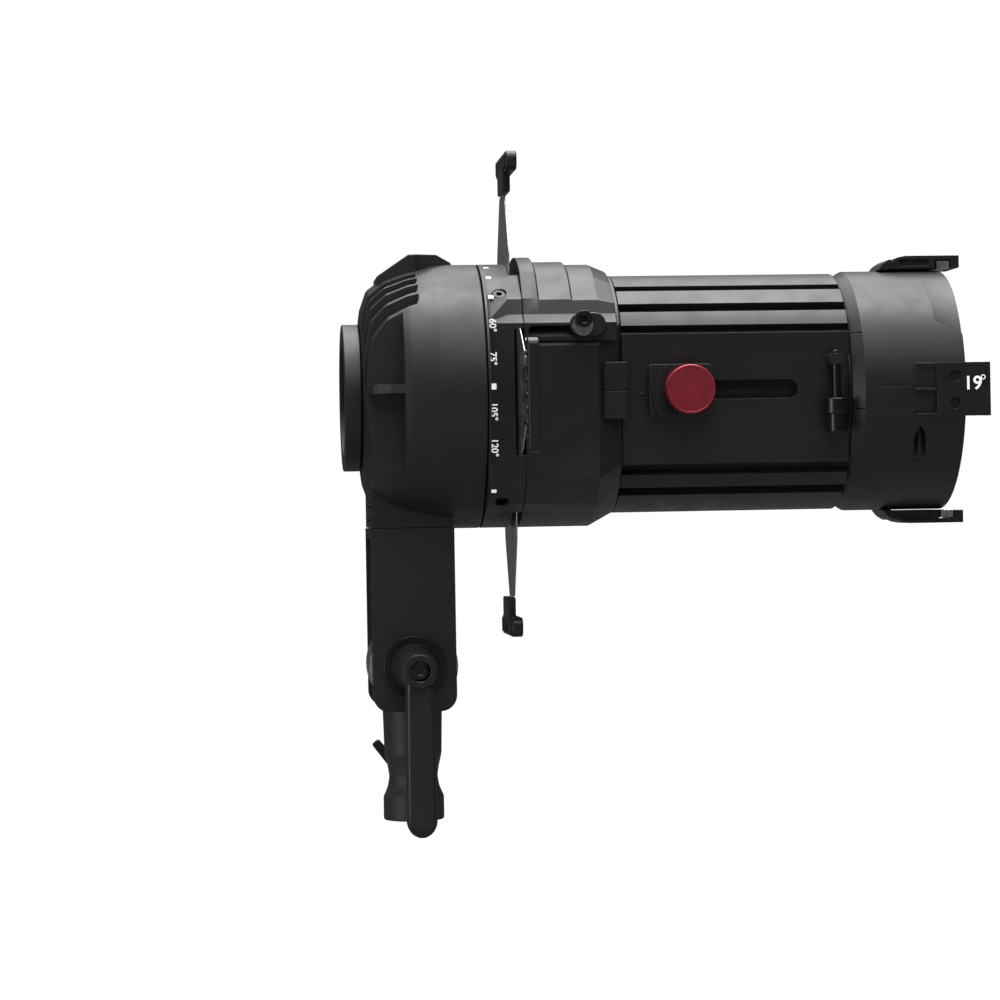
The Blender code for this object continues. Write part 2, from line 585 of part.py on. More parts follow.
def tube_section(x):
    """A circle with a flat on the near side and one on the far side, rolled a little about the axis."""
    half = math.degrees(math.acos(TUBE_FLAT / TUBE_R))
    near, far = 90.0 + TUBE_ROLL, 270.0 + TUBE_ROLL
    points = arc(TUBE_R, near + half, far - half, 14) + arc(TUBE_R, far + half, near + 360.0 - half, 14)
    return [Vector((x, y, z)) for y, z in points]


def lens_tube():
    outer = loft([tube_section(x) for x in (TUBE_REAR_X, TUBE_FRONT_X)])
    barrel = add("lens_barrel", outer, "lens_tube", "black_casting")
    spigot = ring(TUBE_FRONT_X - 0.6, RING_REAR_X + 11.6, 40.0, 50.5)
    work(barrel, "UNION", ring(86.0, 97.0, 40.0, 43.6), spigot)
    lug = box((CLAMP_X - 3.4, -57.0, AXIS_Z + 10.5), (CLAMP_X + 2.7, -44.0, AXIS_Z + 15.5))
    work(barrel, "UNION", lug)
    work(barrel, "DIFFERENCE", pin("X", (0, 0, AXIS_Z), 80, 220, TUBE_BORE_R, BIG_STEPS))
    groove = [(99.0, 51.5), (99.0, 58.0), (TUBE_FRONT_X - 3.2, 58.0), (TUBE_FRONT_X - 3.2, 51.5)]
    for middle in (90.0 + TUBE_ROLL, 270.0 + TUBE_ROLL):
        for low, high in ((31.5, 38.6), (47.0, 53.8), (63.4, 66.6)):
            upper = turned(groove, steps=1, span=(middle - high, middle - low))
            lower = turned(groove, steps=1, span=(middle + low, middle + high))
            work(barrel, "DIFFERENCE", upper, lower, solver="MANIFOLD")
    half = FOCUS_SLOT_HALF_HEIGHT
    slot = box((KNOB_X - half, -60, AXIS_Z - half), (KNOB_X + FOCUS_TRAVEL + half, -30, AXIS_Z + half))
    work(barrel, "DIFFERENCE", slot, pin("Z", (CLAMP_X, CLAMP_Y, AXIS_Z), 8, 20, 2.3, TINY_STEPS))

    sleeve = add("lens_carriage", ring(104.0, 178.0, 37.6, 40.8), "focus_carriage", "black_casting")
    centre = (KNOB_X, 0, AXIS_Z)
    work(sleeve, "DIFFERENCE", pin("Y", centre, -45, -30, 3.3, TINY_STEPS))
    add("lens_rear", optic(146.0, 158.0, 37.2, 2.0, 7.0), "focus_carriage", "lens_glass")
    add("lens_front", optic(161.0, 174.0, 37.2, 7.0, 3.0), "focus_carriage", "lens_glass")
    add("lens_retainer", ring(175.0, 177.0, 33.0, 37.2, steps=MID_STEPS), "focus_carriage", "black_steel")
    plate = prism(rounded(14.7, 11.8, 1.5, (KNOB_X - 3.3, AXIS_Z), 2), "Y", -50.6, -48.6)
    slider = add("slider_plate", plate, "focus_carriage", "black_casting")
    work(slider, "DIFFERENCE", pin("Y", centre, -52, -47, 3.5, TINY_STEPS))
    grip = [(-60.0, 0.0), (-60.0, 10.5), (-59.2, 11.25), (-52.6, 11.25), (-51.2, 10.0)]
    grip += [(-51.2, 3.0), (-38.2, 3.0), (-38.2, 0.0)]
    add("focus_knob", turned(grip, "Y", centre, MID_STEPS), "focus_knob", "red_anodised")

    rod = [(17.0, 0.0), (17.0, 2.0), (-5.0, 2.0), (-5.0, 6.2), (-12.0, 6.2)]
    rod += [(-12.0, 4.65), (-20.4, 4.65), (-20.4, 0.0)]
    screw = turned(rod, "Z", (CLAMP_X, CLAMP_Y, AXIS_Z), SMALL_STEPS)
    add("ring_clamp_screw", screw, "ring_clamp", "black_steel")


def front_ring():
    rear, front = RING_REAR_X, RING_FRONT_X
    hood = [(rear, 50.9), (rear, 53.0), (rear + 5.6, RING_R), (front, RING_R), (front, 53.2)]
    hood += [(rear + 12.2, 53.2), (rear + 12.2, 50.9)]
    add("front_ring", turned(hood), "front_ring", "black_casting")
    side = [(224.5, 56.9), (229.0, 60.4), (235.0, 63.1), (261.6, 63.1), (261.6, 57.2), (257.8, 57.2)]
    side += [(257.8, 61.1), (250.0, 61.1), (250.0, 56.9)]
    half = 12.25
    for name, turn in (("top", 0), ("bottom", 180), ("far", 270)):
        angle = math.radians(turn)
        out = Vector((0, -math.sin(angle), math.cos(angle)))
        across = Vector((0, math.cos(angle), math.sin(angle)))
        loops = [[Vector((x, 0, AXIS_Z)) + out * r + across * w for x, r in side] for w in (-half, half)]
        add(f"accessory_clip_{name}", loft(loops), "front_ring", "black_casting")
    plate = [(238.7, -56.9), (238.7, -59.2), (263.7, -59.2), (263.7, -54.4), (261.6, -54.4), (261.6, -56.9)]
    middle = AXIS_Z - 1.7
    plate = prism(plate, "Z", middle - half, middle + half)
    bracket = add("label_bracket", plate, "front_ring", "black_plate")
    for z in (-half + 0.8, 0.0, half - 0.8):
        work(bracket, "UNION", box((229.1, -58.7, middle + z - 0.7), (240.0, -56.95, middle + z + 0.7)))
    for z in (-6.3, 6.3):
        work(bracket, "DIFFERENCE", pin("Y", (247.2, 0, middle + z), -62, -54, 2.7, TINY_STEPS))


stand_receiver()
socket_lock()
yoke()
tilt_clamp()
rear_housing()
condenser()
gate()
shutters()
slot_cover()
tube_latch()
lens_tube()
front_ring()
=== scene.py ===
import math

import bmesh
import bpy
from mathutils import Matrix, Vector


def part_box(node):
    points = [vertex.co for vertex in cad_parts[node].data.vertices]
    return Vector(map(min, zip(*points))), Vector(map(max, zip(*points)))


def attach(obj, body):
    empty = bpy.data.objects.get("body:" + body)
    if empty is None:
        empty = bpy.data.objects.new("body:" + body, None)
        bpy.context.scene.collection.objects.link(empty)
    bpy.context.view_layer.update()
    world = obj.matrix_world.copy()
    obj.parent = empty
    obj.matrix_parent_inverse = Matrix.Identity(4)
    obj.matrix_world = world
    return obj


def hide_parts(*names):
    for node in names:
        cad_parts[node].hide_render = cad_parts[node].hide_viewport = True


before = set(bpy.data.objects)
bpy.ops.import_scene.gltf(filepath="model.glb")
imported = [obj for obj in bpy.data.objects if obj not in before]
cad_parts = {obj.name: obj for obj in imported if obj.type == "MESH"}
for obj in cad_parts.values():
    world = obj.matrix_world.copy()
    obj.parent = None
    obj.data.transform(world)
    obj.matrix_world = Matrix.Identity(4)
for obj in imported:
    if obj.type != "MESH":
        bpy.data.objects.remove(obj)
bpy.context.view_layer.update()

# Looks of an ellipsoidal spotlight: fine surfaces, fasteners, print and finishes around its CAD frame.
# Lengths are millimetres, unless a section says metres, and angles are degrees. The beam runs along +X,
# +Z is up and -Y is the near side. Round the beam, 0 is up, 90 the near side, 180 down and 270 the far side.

MM = 0.001


def extent(node):
    """The lowest and highest corner of a CAD node, in millimetres."""
    low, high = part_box(node)
    return low / MM, high / MM


# Sizes from the frame

FLANGE_LOW, FLANGE_HIGH = extent("mount_flange")
HOUSING_LOW, HOUSING_HIGH = extent("rear_housing")
SCALE_LOW, SCALE_HIGH = extent("gate_ring")
GATE_HIGH = extent("gate_housing")[1]
COVER_LOW = extent("slot_cover")[0]
HOOD_LOW, HOOD_HIGH = extent("front_ring")
YOKE_LOW, YOKE_HIGH = extent("yoke_bracket")
WASHER_LOW, WASHER_HIGH = extent("tilt_washer")
KNOB_LOW, KNOB_HIGH = extent("focus_knob")
CLAMP_LOW, CLAMP_HIGH = extent("ring_clamp_screw")
LATCH_LOW, LATCH_HIGH = extent("tube_latch")
PLATE_LOW, PLATE_HIGH = extent("slider_plate")
LABEL_LOW, LABEL_HIGH = extent("label_bracket")
LEVER_LOW = extent("tilt_lever")[0]
LOCK_LOW, LOCK_HIGH = extent("socket_lock_screw")

AXIS_Z = (FLANGE_LOW.z + FLANGE_HIGH.z) / 2
TILT_Z = (WASHER_LOW.z + WASHER_HIGH.z) / 2
LOCK_Z = (LOCK_LOW.z + LOCK_HIGH.z) / 2
DRUM_R = (SCALE_HIGH.z - SCALE_LOW.z) / 2
RING_R = (HOOD_HIGH.z - HOOD_LOW.z) / 2
KNOB_X = (KNOB_LOW.x + KNOB_HIGH.x) / 2
CLAMP_X = (CLAMP_LOW.x + CLAMP_HIGH.x) / 2
CLAMP_Y = (CLAMP_LOW.y + CLAMP_HIGH.y) / 2
GATE_FLAT_Y = GATE_HIGH.y
AXIS = (0.0, 0.0, AXIS_Z)
TILT = (0.0, 0.0, TILT_Z)

# Fineness and edges
FINE = 192
ROUND = 72
SMALL = 36
SMOOTH_ANGLE = 32
FACET_ANGLE = 14

# Rear housing
HOUSING_OUTER = [(-21.5, 41.6), (-18.5, 50.0), (-11.0, 55.5), (-1.0, 58.8), (12.0, 61.2), (21.0, DRUM_R)]
FIRST_FIN_Y = 18.5
FIN_PITCH = 6.3
FIN_GAPS = 4
FIN_HALF = 0.55
FIN_DEPTH = 5.0
FIN_FRONT_X = 3.8
FIN_RAMP_X = -6.5
POCKET_Y = 44.3
POCKET_FRONT_X = -4.0

# Gate
FACET_REAR_X = 33.9
FACET_FULL_X = 43.8
JOIN_X = SCALE_HIGH.x
BORE_R = 48.2
WINDOW_HALF = 28.7
CROWN_SPREAD = 30.5
FLAT_LOW_Z = -39.7
LOW_CORNER = (37.5, -50.8)
FOOT_SPREAD = 28.0
SCALE_SCREW_X = 40.5
SCALE_SCREW_ANGLES = {"near_upper": 41.3, "near_lower": 142, "far_lower": 218, "far_upper": 320}

# Scale print: a figure's place, and half the width of a mark
PRINT_X = 36.1
PRINT_HEIGHT = 3.1
FIGURES = [("60°", 30.3), ("75°", 15.2), ("105°", -8.8), ("120°", -25.1)]
MARK_Z = 2.6
MARK_HALF = 1.35
LOW_MARK_HALF = 1.15
LOW_MARK_DROP = 8.3
TICK_X = 35.4
TICK_LENGTH = 2.4
TICK_SPREAD = 0.9

# Slot cover: a slot is (rear, front, height, half its width)
COVER_SLOT = (52.4, 76.6, 27.5, 2.3)
GUIDE_X = 74.5
GUIDE_R = 1.8
SCREW_X = 76.9
SCREW_Z = 32.3
CLAMP_PLATE = (79.3, 30.0)

# Shutters
BLADE_THICKNESS = 0.5
HANDLE_SHIFT = -3.4
GRIP_NECK_R = 100.6
GRIP_R = 107.95
GRIP_RIB_PITCH = 6.1

# Lens tube
TUBE_REAR_X = 95.3
TUBE_FRONT_X = 200.6
TUBE_R = 55.7
TUBE_FLAT = 46.8
TUBE_ROLL = 5.0
TUBE_BORE_R = 41.2
UPPER_GROOVES = [(32.8, 37.1), (45.4, 50.9), (61.6, 66.5)]
LOWER_GROOVES = [(32.5, 39.0), (47.7, 54.1)]
GROOVE_FLOOR_R = 51.5
FOCUS_TRAVEL = 47.0
FOCUS_HALF = 4.3

# Front ring
NOTCH_X = 232.3
RECESS_X = 240.3
CLIP_HALF = 12.25
LABEL_REAR_X = 238.7
LABEL_BACK_Y = -56.9
LABEL_LIP = 2.1
LABEL_HOLE_X = 247.2

# Yoke, tilt clamp and receiver
YOKE_CORNER_R = 7.5
YOKE_SHEET = 4.5
BOLT_BORE_R = 5.3
WASHER_R = 14.4
LEVER_TIP_Z = 5.2
LEVER_HALF = 6.9
LEVER_DEPTH = 9.0
LOCK_LEAN = 128.5


# Materials


def node(tree, kind, inputs=None, **settings):
    """Adds a node; an input is a number, a colour or another node's output."""
    made = tree.nodes.new(kind)
    for key, value in settings.items():
        setattr(made, key, value)
    for key, value in (inputs or {}).items():
        if isinstance(value, bpy.types.NodeSocket):
            tree.links.new(value, made.inputs[key])
        else:
            made.inputs[key].default_value = value
    return made


def mixed(tree, factor, first, second):
    """One colour turning into another; a colour is three numbers or another node's output."""
    first, second = ((*colour, 1.0) if isinstance(colour, tuple) else colour for colour in (first, second))
    return node(tree, "ShaderNodeMix", {0: factor, 6: first, 7: second}, data_type="RGBA").outputs[2]


def ranged(tree, value, from_low, from_high, to_low, to_high):
    """A value carried from one range to another, and held at its ends."""
    inputs = {"Value": value, "From Min": from_low, "From Max": from_high}
    return node(tree, "ShaderNodeMapRange", {**inputs, "To Min": to_low, "To Max": to_high}).outputs["Result"]


def noise(tree, place, scale, detail):
    inputs = {"Vector": place, "Scale": scale, "Detail": detail}
    return node(tree, "ShaderNodeTexNoise", inputs).outputs["Fac"]


def blank(name):
    """A new material, its tree, its shader and the object's coordinates."""
    material = bpy.data.materials.new(name)
    material.use_nodes = True
    tree = material.node_tree
    return material, tree, tree.nodes["Principled BSDF"], node(tree, "ShaderNodeTexCoord").outputs["Object"]


def coat(tree, shader, colour, roughness, metallic=0.0):
    """Gives a shader its colour and gloss."""
    tree.links.new(colour, shader.inputs["Base Color"])
    tree.links.new(roughness, shader.inputs["Roughness"])
    shader.inputs["Metallic"].default_value = metallic


def raise_grain(tree, shader, height, soft, strength, distance):
    """Lays a fine relief over the rounded normal."""
    inputs = {"Height": height, "Normal": soft, "Strength": strength, "Distance": distance}
    tree.links.new(node(tree, "ShaderNodeBump", inputs).outputs["Normal"], shader.inputs["Normal"])


def bevel_normal_and_turn(tree, radius):
    """A rounded normal, and how sharply the surface turns under it."""
    soft = node(tree, "ShaderNodeBevel", {"Radius": radius * MM}, samples=6).outputs["Normal"]
    flat = node(tree, "ShaderNodeNewGeometry").outputs["Normal"]
    product = node(tree, "ShaderNodeVectorMath", {0: soft, 1: flat}, operation="DOT_PRODUCT")
    return soft, product.outputs["Value"]


def coated(name, dark, light, highlight_and_wear_colour, gloss, grain, bump, metallic=0.0, highlight_and_wear_amount=0.5, edge=0.35):
    """Paint, plastic or plating: cloudy colour, uneven gloss, fine grain, and sharp edges painted lighter, a
    painted highlight over slight wear.
    """
    material, tree, shader, place = blank(name)
    cloud = noise(tree, place, 30.0, 5.0)
    speck = noise(tree, place, grain, 3.0)
    smear = noise(tree, place, 90.0, 6.0)
    soft, turn = bevel_normal_and_turn(tree, edge)
    # Sharp edges are painted towards the edge colour, patchy with the smear: a painted highlight over slight
    # wear.
    edge_highlight_and_wear = ranged(tree, turn, 0.97, 0.75, 0.0, highlight_and_wear_amount)
    patchy = node(tree, "ShaderNodeMath", {0: edge_highlight_and_wear, 1: smear}, operation="MULTIPLY").outputs["Value"]
    colour = mixed(tree, patchy, mixed(tree, cloud, dark, light), highlight_and_wear_colour)
    coat(tree, shader, colour, ranged(tree, smear, 0.3, 0.7, *gloss), metallic)
    raise_grain(tree, shader, speck, soft, bump, 0.00006)
    return material


def brushed(name, dark, light, gloss, stretch):
    """Bare metal with a fine lay of scratches along one direction."""
    material, tree, shader, place = blank(name)
    drawn = node(tree, "ShaderNodeMapping", {"Vector": place, "Scale": stretch}).outputs["Vector"]
    lay = noise(tree, drawn, 1.0, 4.0)
    cloud = noise(tree, place, 60.0, 4.0)
    soft, _ = bevel_normal_and_turn(tree, 0.2)
    coat(tree, shader, mixed(tree, cloud, dark, light), ranged(tree, lay, 0.3, 0.7, *gloss), 1.0)
    raise_grain(tree, shader, lay, soft, 0.25, 0.00003)
    return material


def anodised(name, dark, light, centre):
    """Dyed aluminium turned on a lathe: rings round the knob's axis, and its sharp edges painted a lighter
    pink, a painted highlight.
    """
    material, tree, shader, place = blank(name)
    offset = node(tree, "ShaderNodeVectorMath", {0: place, 1: centre}, operation="SUBTRACT").outputs["Vector"]
    inputs = {"Vector": offset, "Scale": 900.0, "Distortion": 0.4}
    rings = node(tree, "ShaderNodeTexWave", inputs, wave_type="RINGS", rings_direction="Y").outputs["Fac"]
    cloud = noise(tree, place, 120.0, 5.0)
    soft, turn = bevel_normal_and_turn(tree, 0.5)
    # Painted highlight: the knob's sharp edges turn a lighter pink.
    rim = ranged(tree, turn, 0.985, 0.8, 0.0, 0.55)
    colour = mixed(tree, rim, mixed(tree, cloud, dark, light), (0.72, 0.3, 0.33))
    coat(tree, shader, colour, ranged(tree, cloud, 0.3, 0.7, 0.34, 0.46), 0.35)
    raise_grain(tree, shader, rings, soft, 0.12, 0.00002)
    return material


def glowing_print(name, colour):
    """White screen print, slightly uneven in cover, that also glows with a painted glow."""
    material, tree, shader, place = blank(name)
    film = noise(tree, place, 1500.0, 3.0)
    thin = tuple(0.86 * c for c in colour)
    coat(tree, shader, mixed(tree, film, thin, colour), ranged(tree, film, 0.3, 0.7, 0.5, 0.65))
    # Painted glow: the print emits light of its own, though it is no lamp.
    lit = mixed(tree, film, (0.55, 0.55, 0.55), (0.62, 0.62, 0.62))
    tree.links.new(lit, shader.inputs["Emission Color"])
    shader.inputs["Emission Strength"].default_value = 1.0
    return material


def glass(name):
    """Coated lens glass with a faint film of dust."""
    material, tree, shader, place = blank(name)
    film = noise(tree, place, 70.0, 8.0)
    tint = mixed(tree, film, (0.93, 0.97, 0.98), (0.98, 0.98, 1.0))
    coat(tree, shader, tint, ranged(tree, film, 0.4, 0.75, 0.01, 0.06))
    shader.inputs["Transmission Weight"].default_value = 1.0
    shader.inputs["IOR"].default_value = 1.52
    return material


KNOB_CENTRE = (KNOB_X * MM, 0.0, AXIS_Z * MM)
# GREY, and the pale grey of the black oxide, are painted onto sharp edges: a painted highlight over slight
# wear.
BLACK, SOOT, GREY = (0.012, 0.012, 0.0125), (0.021, 0.021, 0.0215), (0.12, 0.12, 0.12)
MATERIALS = {
    "casting": (coated("Cast_black", BLACK, SOOT, GREY, (0.42, 0.56), 2600.0, 0.35), "castings"),
    "stand": (
        coated("Stand_black", (0.026,) * 3, (0.038,) * 3, GREY, (0.42, 0.56), 2600.0, 0.35),
        "castings",
    ),
    "ring": (coated("Ring_black", BLACK, SOOT, GREY, (0.38, 0.5), 3400.0, 0.22), "castings"),
    "plate": (coated("Plate_black", BLACK, SOOT, GREY, (0.5, 0.66), 3000.0, 0.4), "yoke_plate"),
    "label": (coated("Label_black", BLACK, BLACK, GREY, (0.4, 0.5), 3000.0, 0.2), "label"),
    "grip": (coated("Grip_black", BLACK, SOOT, GREY, (0.3, 0.42), 3000.0, 0.2), "castings"),
    "lever": (coated("Lever_black", BLACK, SOOT, GREY, (0.32, 0.45), 2400.0, 0.25, edge=0.6), "lever"),
    "dark_steel": (
        coated("Black_oxide", (0.03,) * 3, (0.055,) * 3, (0.5,) * 3, (0.24, 0.38), 4000.0, 0.1, 0.9, 0.8),
        "black_steel",
    ),
    "steel": (
        brushed("Bare_steel", (0.55, 0.55, 0.54), (0.7, 0.7, 0.69), (0.2, 0.36), (900, 900, 60)),
        "bare_steel",
    ),
    "red": (anodised("Red_anodised", (0.34, 0.026, 0.042), (0.44, 0.036, 0.056), KNOB_CENTRE), "red_knob"),
    "print": (glowing_print("White_print_glowing", (0.85, 0.85, 0.85)), "label"),
    "glass": (glass("Lens_glass"), "optic"),
}


# Shapes, each returned as a bmesh in millimetres in the frame


def around(axis, centre, along, radius, angle):
    """A point at this distance and angle from a line through centre along X, Y or Z."""
    turn = math.radians(angle)
    side, rise = radius * math.sin(turn), radius * math.cos(turn)
    offset = {"X": (along, -side, rise), "Y": (side, along, rise), "Z": (rise, side, along)}[axis]
    return Vector(centre) + Vector(offset)


def eased(points, reach, steps=4, keep=(), closed=True):
    """The outline with its corners rounded from this far away; the kept corners stay sharp."""
    rounded_points = []
    count = len(points)
    for i, point in enumerate(points):
        here = Vector(point)
        if i in keep or (not closed and i in (0, count - 1)):
            rounded_points.append(tuple(here))
            continue
        before = Vector(points[i - 1]) - here
        after = Vector(points[(i + 1) % count]) - here
        start = here + before.normalized() * min(reach, before.length * 0.45)
        end = here + after.normalized() * min(reach, after.length * 0.45)
        for step in range(steps + 1):
            t = step / steps
            rounded_points.append(tuple(start * (1 - t) ** 2 + here * 2 * t * (1 - t) + end * t * t))
    return rounded_points


def turned(profile, axis="X", centre=AXIS, steps=ROUND, span=(0.0, 360.0), reach=0.0):
    """A closed outline of (along, radius) points swept round the axis, all the way or over a span."""
    if reach:
        profile = eased(profile, reach, 3, [i for i, (_, r) in enumerate(profile) if r == 0.0])
    bm = bmesh.new()
    whole = span[1] - span[0] >= 360.0
    stops = steps if whole else steps + 1
    poles = {}
    for i, (along, radius) in enumerate(profile):
        if radius == 0.0:
            poles[i] = bm.verts.new(around(axis, centre, along, 0.0, 0.0))
    rings = []
    for number in range(stops):
        angle = span[0] + (span[1] - span[0]) * number / steps
        points = [around(axis, centre, along, radius, angle) for along, radius in profile]
        rings.append([poles.get(i) or bm.verts.new(point) for i, point in enumerate(points)])
    following = rings[1:] + rings[:1] if whole else rings[1:]
    for here, there in zip(rings, following):
        for i in range(len(profile)):
            j = (i + 1) % len(profile)
            corners = list(dict.fromkeys((here[i], here[j], there[j], there[i])))
            if len(corners) > 2:
                bm.faces.new(corners)
    if not whole:
        bm.faces.new(rings[0])
        bm.faces.new(rings[-1])
    return bm


def loft(sections):
    """Closed loops with equal numbers of points, joined in order and capped at both ends."""
    bm = bmesh.new()
    loops = [[bm.verts.new(point) for point in section] for section in sections]
    for here, there in zip(loops, loops[1:]):
        for i in range(len(here)):
            j = (i + 1) % len(here)
            bm.faces.new((here[i], here[j], there[j], there[i]))
    bm.faces.new(loops[0])
    bm.faces.new(loops[-1])
    return bm


def prism(outline, axis, low, high):
    """An outline in the plane across the axis, extruded between two places along it."""
    spot = "XYZ".index(axis)
    corners = [(corner[:spot], corner[spot:]) for corner in outline]
    return loft([[Vector((*before, place, *after)) for before, after in corners] for place in (low, high)])


def box(low, high):
    outline = [(low[1], low[2]), (high[1], low[2]), (high[1], high[2]), (low[1], high[2])]
    return prism(outline, "X", low[0], high[0])


def pin(axis, centre, low, high, radius, steps=SMALL, reach=0.0):
    return turned([(low, 0.0), (low, radius), (high, radius), (high, 0.0)], axis, centre, steps, reach=reach)


def arc(radius, start, end, steps):
    """Points (y, z) on a circle round the optical axis."""
    turn = (end - start) / steps
    points = [around("X", AXIS, 0.0, radius, start + turn * i) for i in range(steps + 1)]
    return [(p.y, p.z) for p in points]


def rounded(half_width, half_height, radius, centre=(0.0, 0.0), steps=8):
    """A rectangle with round corners, as points round its centre."""
    points = []
    for number, (sx, sz) in enumerate([(1, 1), (-1, 1), (-1, -1), (1, -1)]):
        for i in range(steps + 1):
            angle = math.radians(90 * number + 90 * i / steps)
            x = sx * (half_width - radius) + radius * math.cos(angle)
            z = sz * (half_height - radius) + radius * math.sin(angle)
            points.append((centre[0] + x, centre[1] + z))
    return points


def swung(x, across, radius, angle):
    """A point this far from the beam, and this far across that line, at an angle round the beam."""
    turn = math.radians(angle)
    y = across * math.cos(turn) - radius * math.sin(turn)
    z = radius * math.cos(turn) + across * math.sin(turn)
    return Vector((x, y, AXIS_Z + z))


def slab(outline, low_x, high_x, angle):
    """An outline of (across, radius) points at an angle round the beam, extruded along the beam."""
    return loft([[swung(x, across, radius, angle) for across, radius in outline] for x in (low_x, high_x)])


def hexagon(x, z, radius):
    turns = [math.radians(60 * i) for i in range(6)]
    return [(x + radius * math.cos(turn), z + radius * math.sin(turn)) for turn in turns]


def radial(x, angle, low_r, high_r, radius, steps=SMALL):
    """A pin that stands on the optical axis."""
    turns = [math.radians(360 * i / steps) for i in range(steps)]
    ring = [(x + radius * math.cos(turn), radius * math.sin(turn)) for turn in turns]
    return loft([[swung(along, across, r, angle) for along, across in ring] for r in (low_r, high_r)])


def merged(shapes):
    """Several separate shapes in one bmesh."""
    whole = bmesh.new()
    for bm in shapes:
        bmesh.ops.recalc_face_normals(bm, faces=bm.faces)
        mesh = bpy.data.meshes.new("merging")
        bm.to_mesh(mesh)
        bm.free()
        whole.from_mesh(mesh)
        bpy.data.meshes.remove(mesh)
    return whole


# Objects


def solid(name, bm, material, bevel=0.0, segments=3):
    """An object made from a bmesh in millimetres, with its edges bevelled if asked."""
    bmesh.ops.recalc_face_normals(bm, faces=bm.faces)
    for vertex in bm.verts:
        vertex.co = vertex.co * MM
    mesh = bpy.data.meshes.new(name)
    bm.to_mesh(mesh)
    bm.free()
    mesh.materials.append(MATERIALS[material][0])
    obj = bpy.data.objects.new(name, mesh)
    obj["slot"] = MATERIALS[material][1]
    bpy.context.scene.collection.objects.link(obj)
    if bevel:
        soften(obj, bevel, segments)
    return obj


def soften(obj, width, segments=3, angle=25):
    bevel = obj.modifiers.new("edges", "BEVEL")
    bevel.width = width * MM
    bevel.segments = segments
    bevel.limit_method = "ANGLE"
    bevel.angle_limit = math.radians(angle)
    bevel.use_clamp_overlap = True


def combine(obj, operation, tool, solver="EXACT"):
    modifier = obj.modifiers.new(operation, "BOOLEAN")
    modifier.operation = operation
    modifier.solver = solver
    modifier.object = tool


def cut(obj, *shapes, solver="EXACT"):
    """Cuts separate shapes from an object."""
    combine(obj, "DIFFERENCE", solid(obj.name + "_cut", merged(shapes), "casting"), solver)


def join(obj, bm, bevel=0.0, solver="EXACT"):
    """Joins a shape to an object."""
    combine(obj, "UNION", solid(obj.name + "_join", bm, "casting", bevel), solver)


def settle(obj):
    """Bakes an object's modifiers into its mesh and removes the tools that they used."""
    graph = bpy.context.evaluated_depsgraph_get()
    mesh = bpy.data.meshes.new_from_object(obj.evaluated_get(graph))
    tools = [m.object for m in obj.modifiers if m.type == "BOOLEAN"]
    obj.modifiers.clear()
    obj.data = mesh
    for tool in tools:
        bpy.data.objects.remove(tool, do_unlink=True)


def hang(obj, body, *nodes, sharp=SMOOTH_ANGLE):
    """Finishes a piece's mesh, hangs it on its body and hides the CAD nodes whose place it takes."""
    settle(obj)
    obj.data.shade_smooth()
    obj.data.set_sharp_from_angle(angle=math.radians(sharp))
    weighted = obj.modifiers.new("normals", "WEIGHTED_NORMAL")
    weighted.keep_sharp = True
    settle(obj)
    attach(obj, body)
    if nodes:
        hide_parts(*nodes)
    return obj


def piece(name, bm, material, body, *nodes, bevel=0.0, segments=3):
    return hang(solid(name, bm, material, bevel, segments), body, *nodes)


def lettering(name, words, height, place, right, up, body, proud=0.12):
    """Printed characters: right and up are the directions of the line and of the letters."""
    curve = bpy.data.curves.new(name, "FONT")
    curve.body = words
    curve.align_x = "CENTER"
    curve.align_y = "CENTER"
    curve.size = height * MM * 1.42
    curve.offset = 0.022 * height * MM
    curve.extrude = proud * MM / 2
    curve.resolution_u = 6
    text = bpy.data.objects.new(name + "_line", curve)
    bpy.context.scene.collection.objects.link(text)
    graph = bpy.context.evaluated_depsgraph_get()
    mesh = bpy.data.meshes.new_from_object(text.evaluated_get(graph))
    bpy.data.objects.remove(text, do_unlink=True)
    right, up = Vector(right), Vector(up)
    turn = Matrix((right, up, right.cross(up))).transposed().to_4x4()
    mesh.transform(Matrix.Translation(Vector(place) * MM) @ turn)
    mesh.materials.append(MATERIALS["print"][0])
    obj = bpy.data.objects.new(name, mesh)
    bpy.context.scene.collection.objects.link(obj)
    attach(obj, body)
    return obj


def repaint(material, *nodes):
    """Gives CAD nodes that stay in view a finished material."""
    for name in nodes:
        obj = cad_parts[name]
        obj.data.materials.clear()
        obj.data.materials.append(MATERIALS[material][0])


# Rear housing


def housing_radius(x):
    """The housing's outer radius at this place along the beam."""
    stops = [(-40.0, 8.0), *HOUSING_OUTER, (40.0, DRUM_R)]
    for (low_x, low_r), (high_x, high_r) in zip(stops, stops[1:]):
        if x <= high_x:
            return low_r + (high_r - low_r) * (x - low_x) / (high_x - low_x)
    return DRUM_R


def fin_gap(low_y, high_y):
    """The space between two upright fins: its floor sweeps up to the surface at the front."""
    middle = (low_y + high_y) / 2
    outline = [(FIN_FRONT_X + 0.2, AXIS_Z + 75.0), (-28.0, AXIS_Z + 75.0)]
    steps = 22
    for i in range(steps + 1):
        x = -28.0 + (FIN_FRONT_X + 28.0) * i / steps
        sweep = max(x - FIN_RAMP_X, 0.0) / (FIN_FRONT_X - FIN_RAMP_X)
        floor = housing_radius(x) - FIN_DEPTH * math.sqrt(1.0 - min(sweep, 1.0) ** 2)
        outline.append((x, AXIS_Z + math.sqrt(max(floor ** 2 - middle ** 2, 0.0))))
    return prism(outline, "Y", low_y, high_y)


def boss_section(x, half_width, flat_z, arc_r, middle):
    """A block's cross section: flat outside, and inside an arc whose middle is at this angle."""
    spread = math.degrees(math.asin(half_width / arc_r))
    points = arc(arc_r, middle + spread, middle - spread, 12)
    flat = [(points[-1][0], flat_z), (points[0][0], flat_z)]
    return [Vector((x, y, z)) for y, z in points + flat]


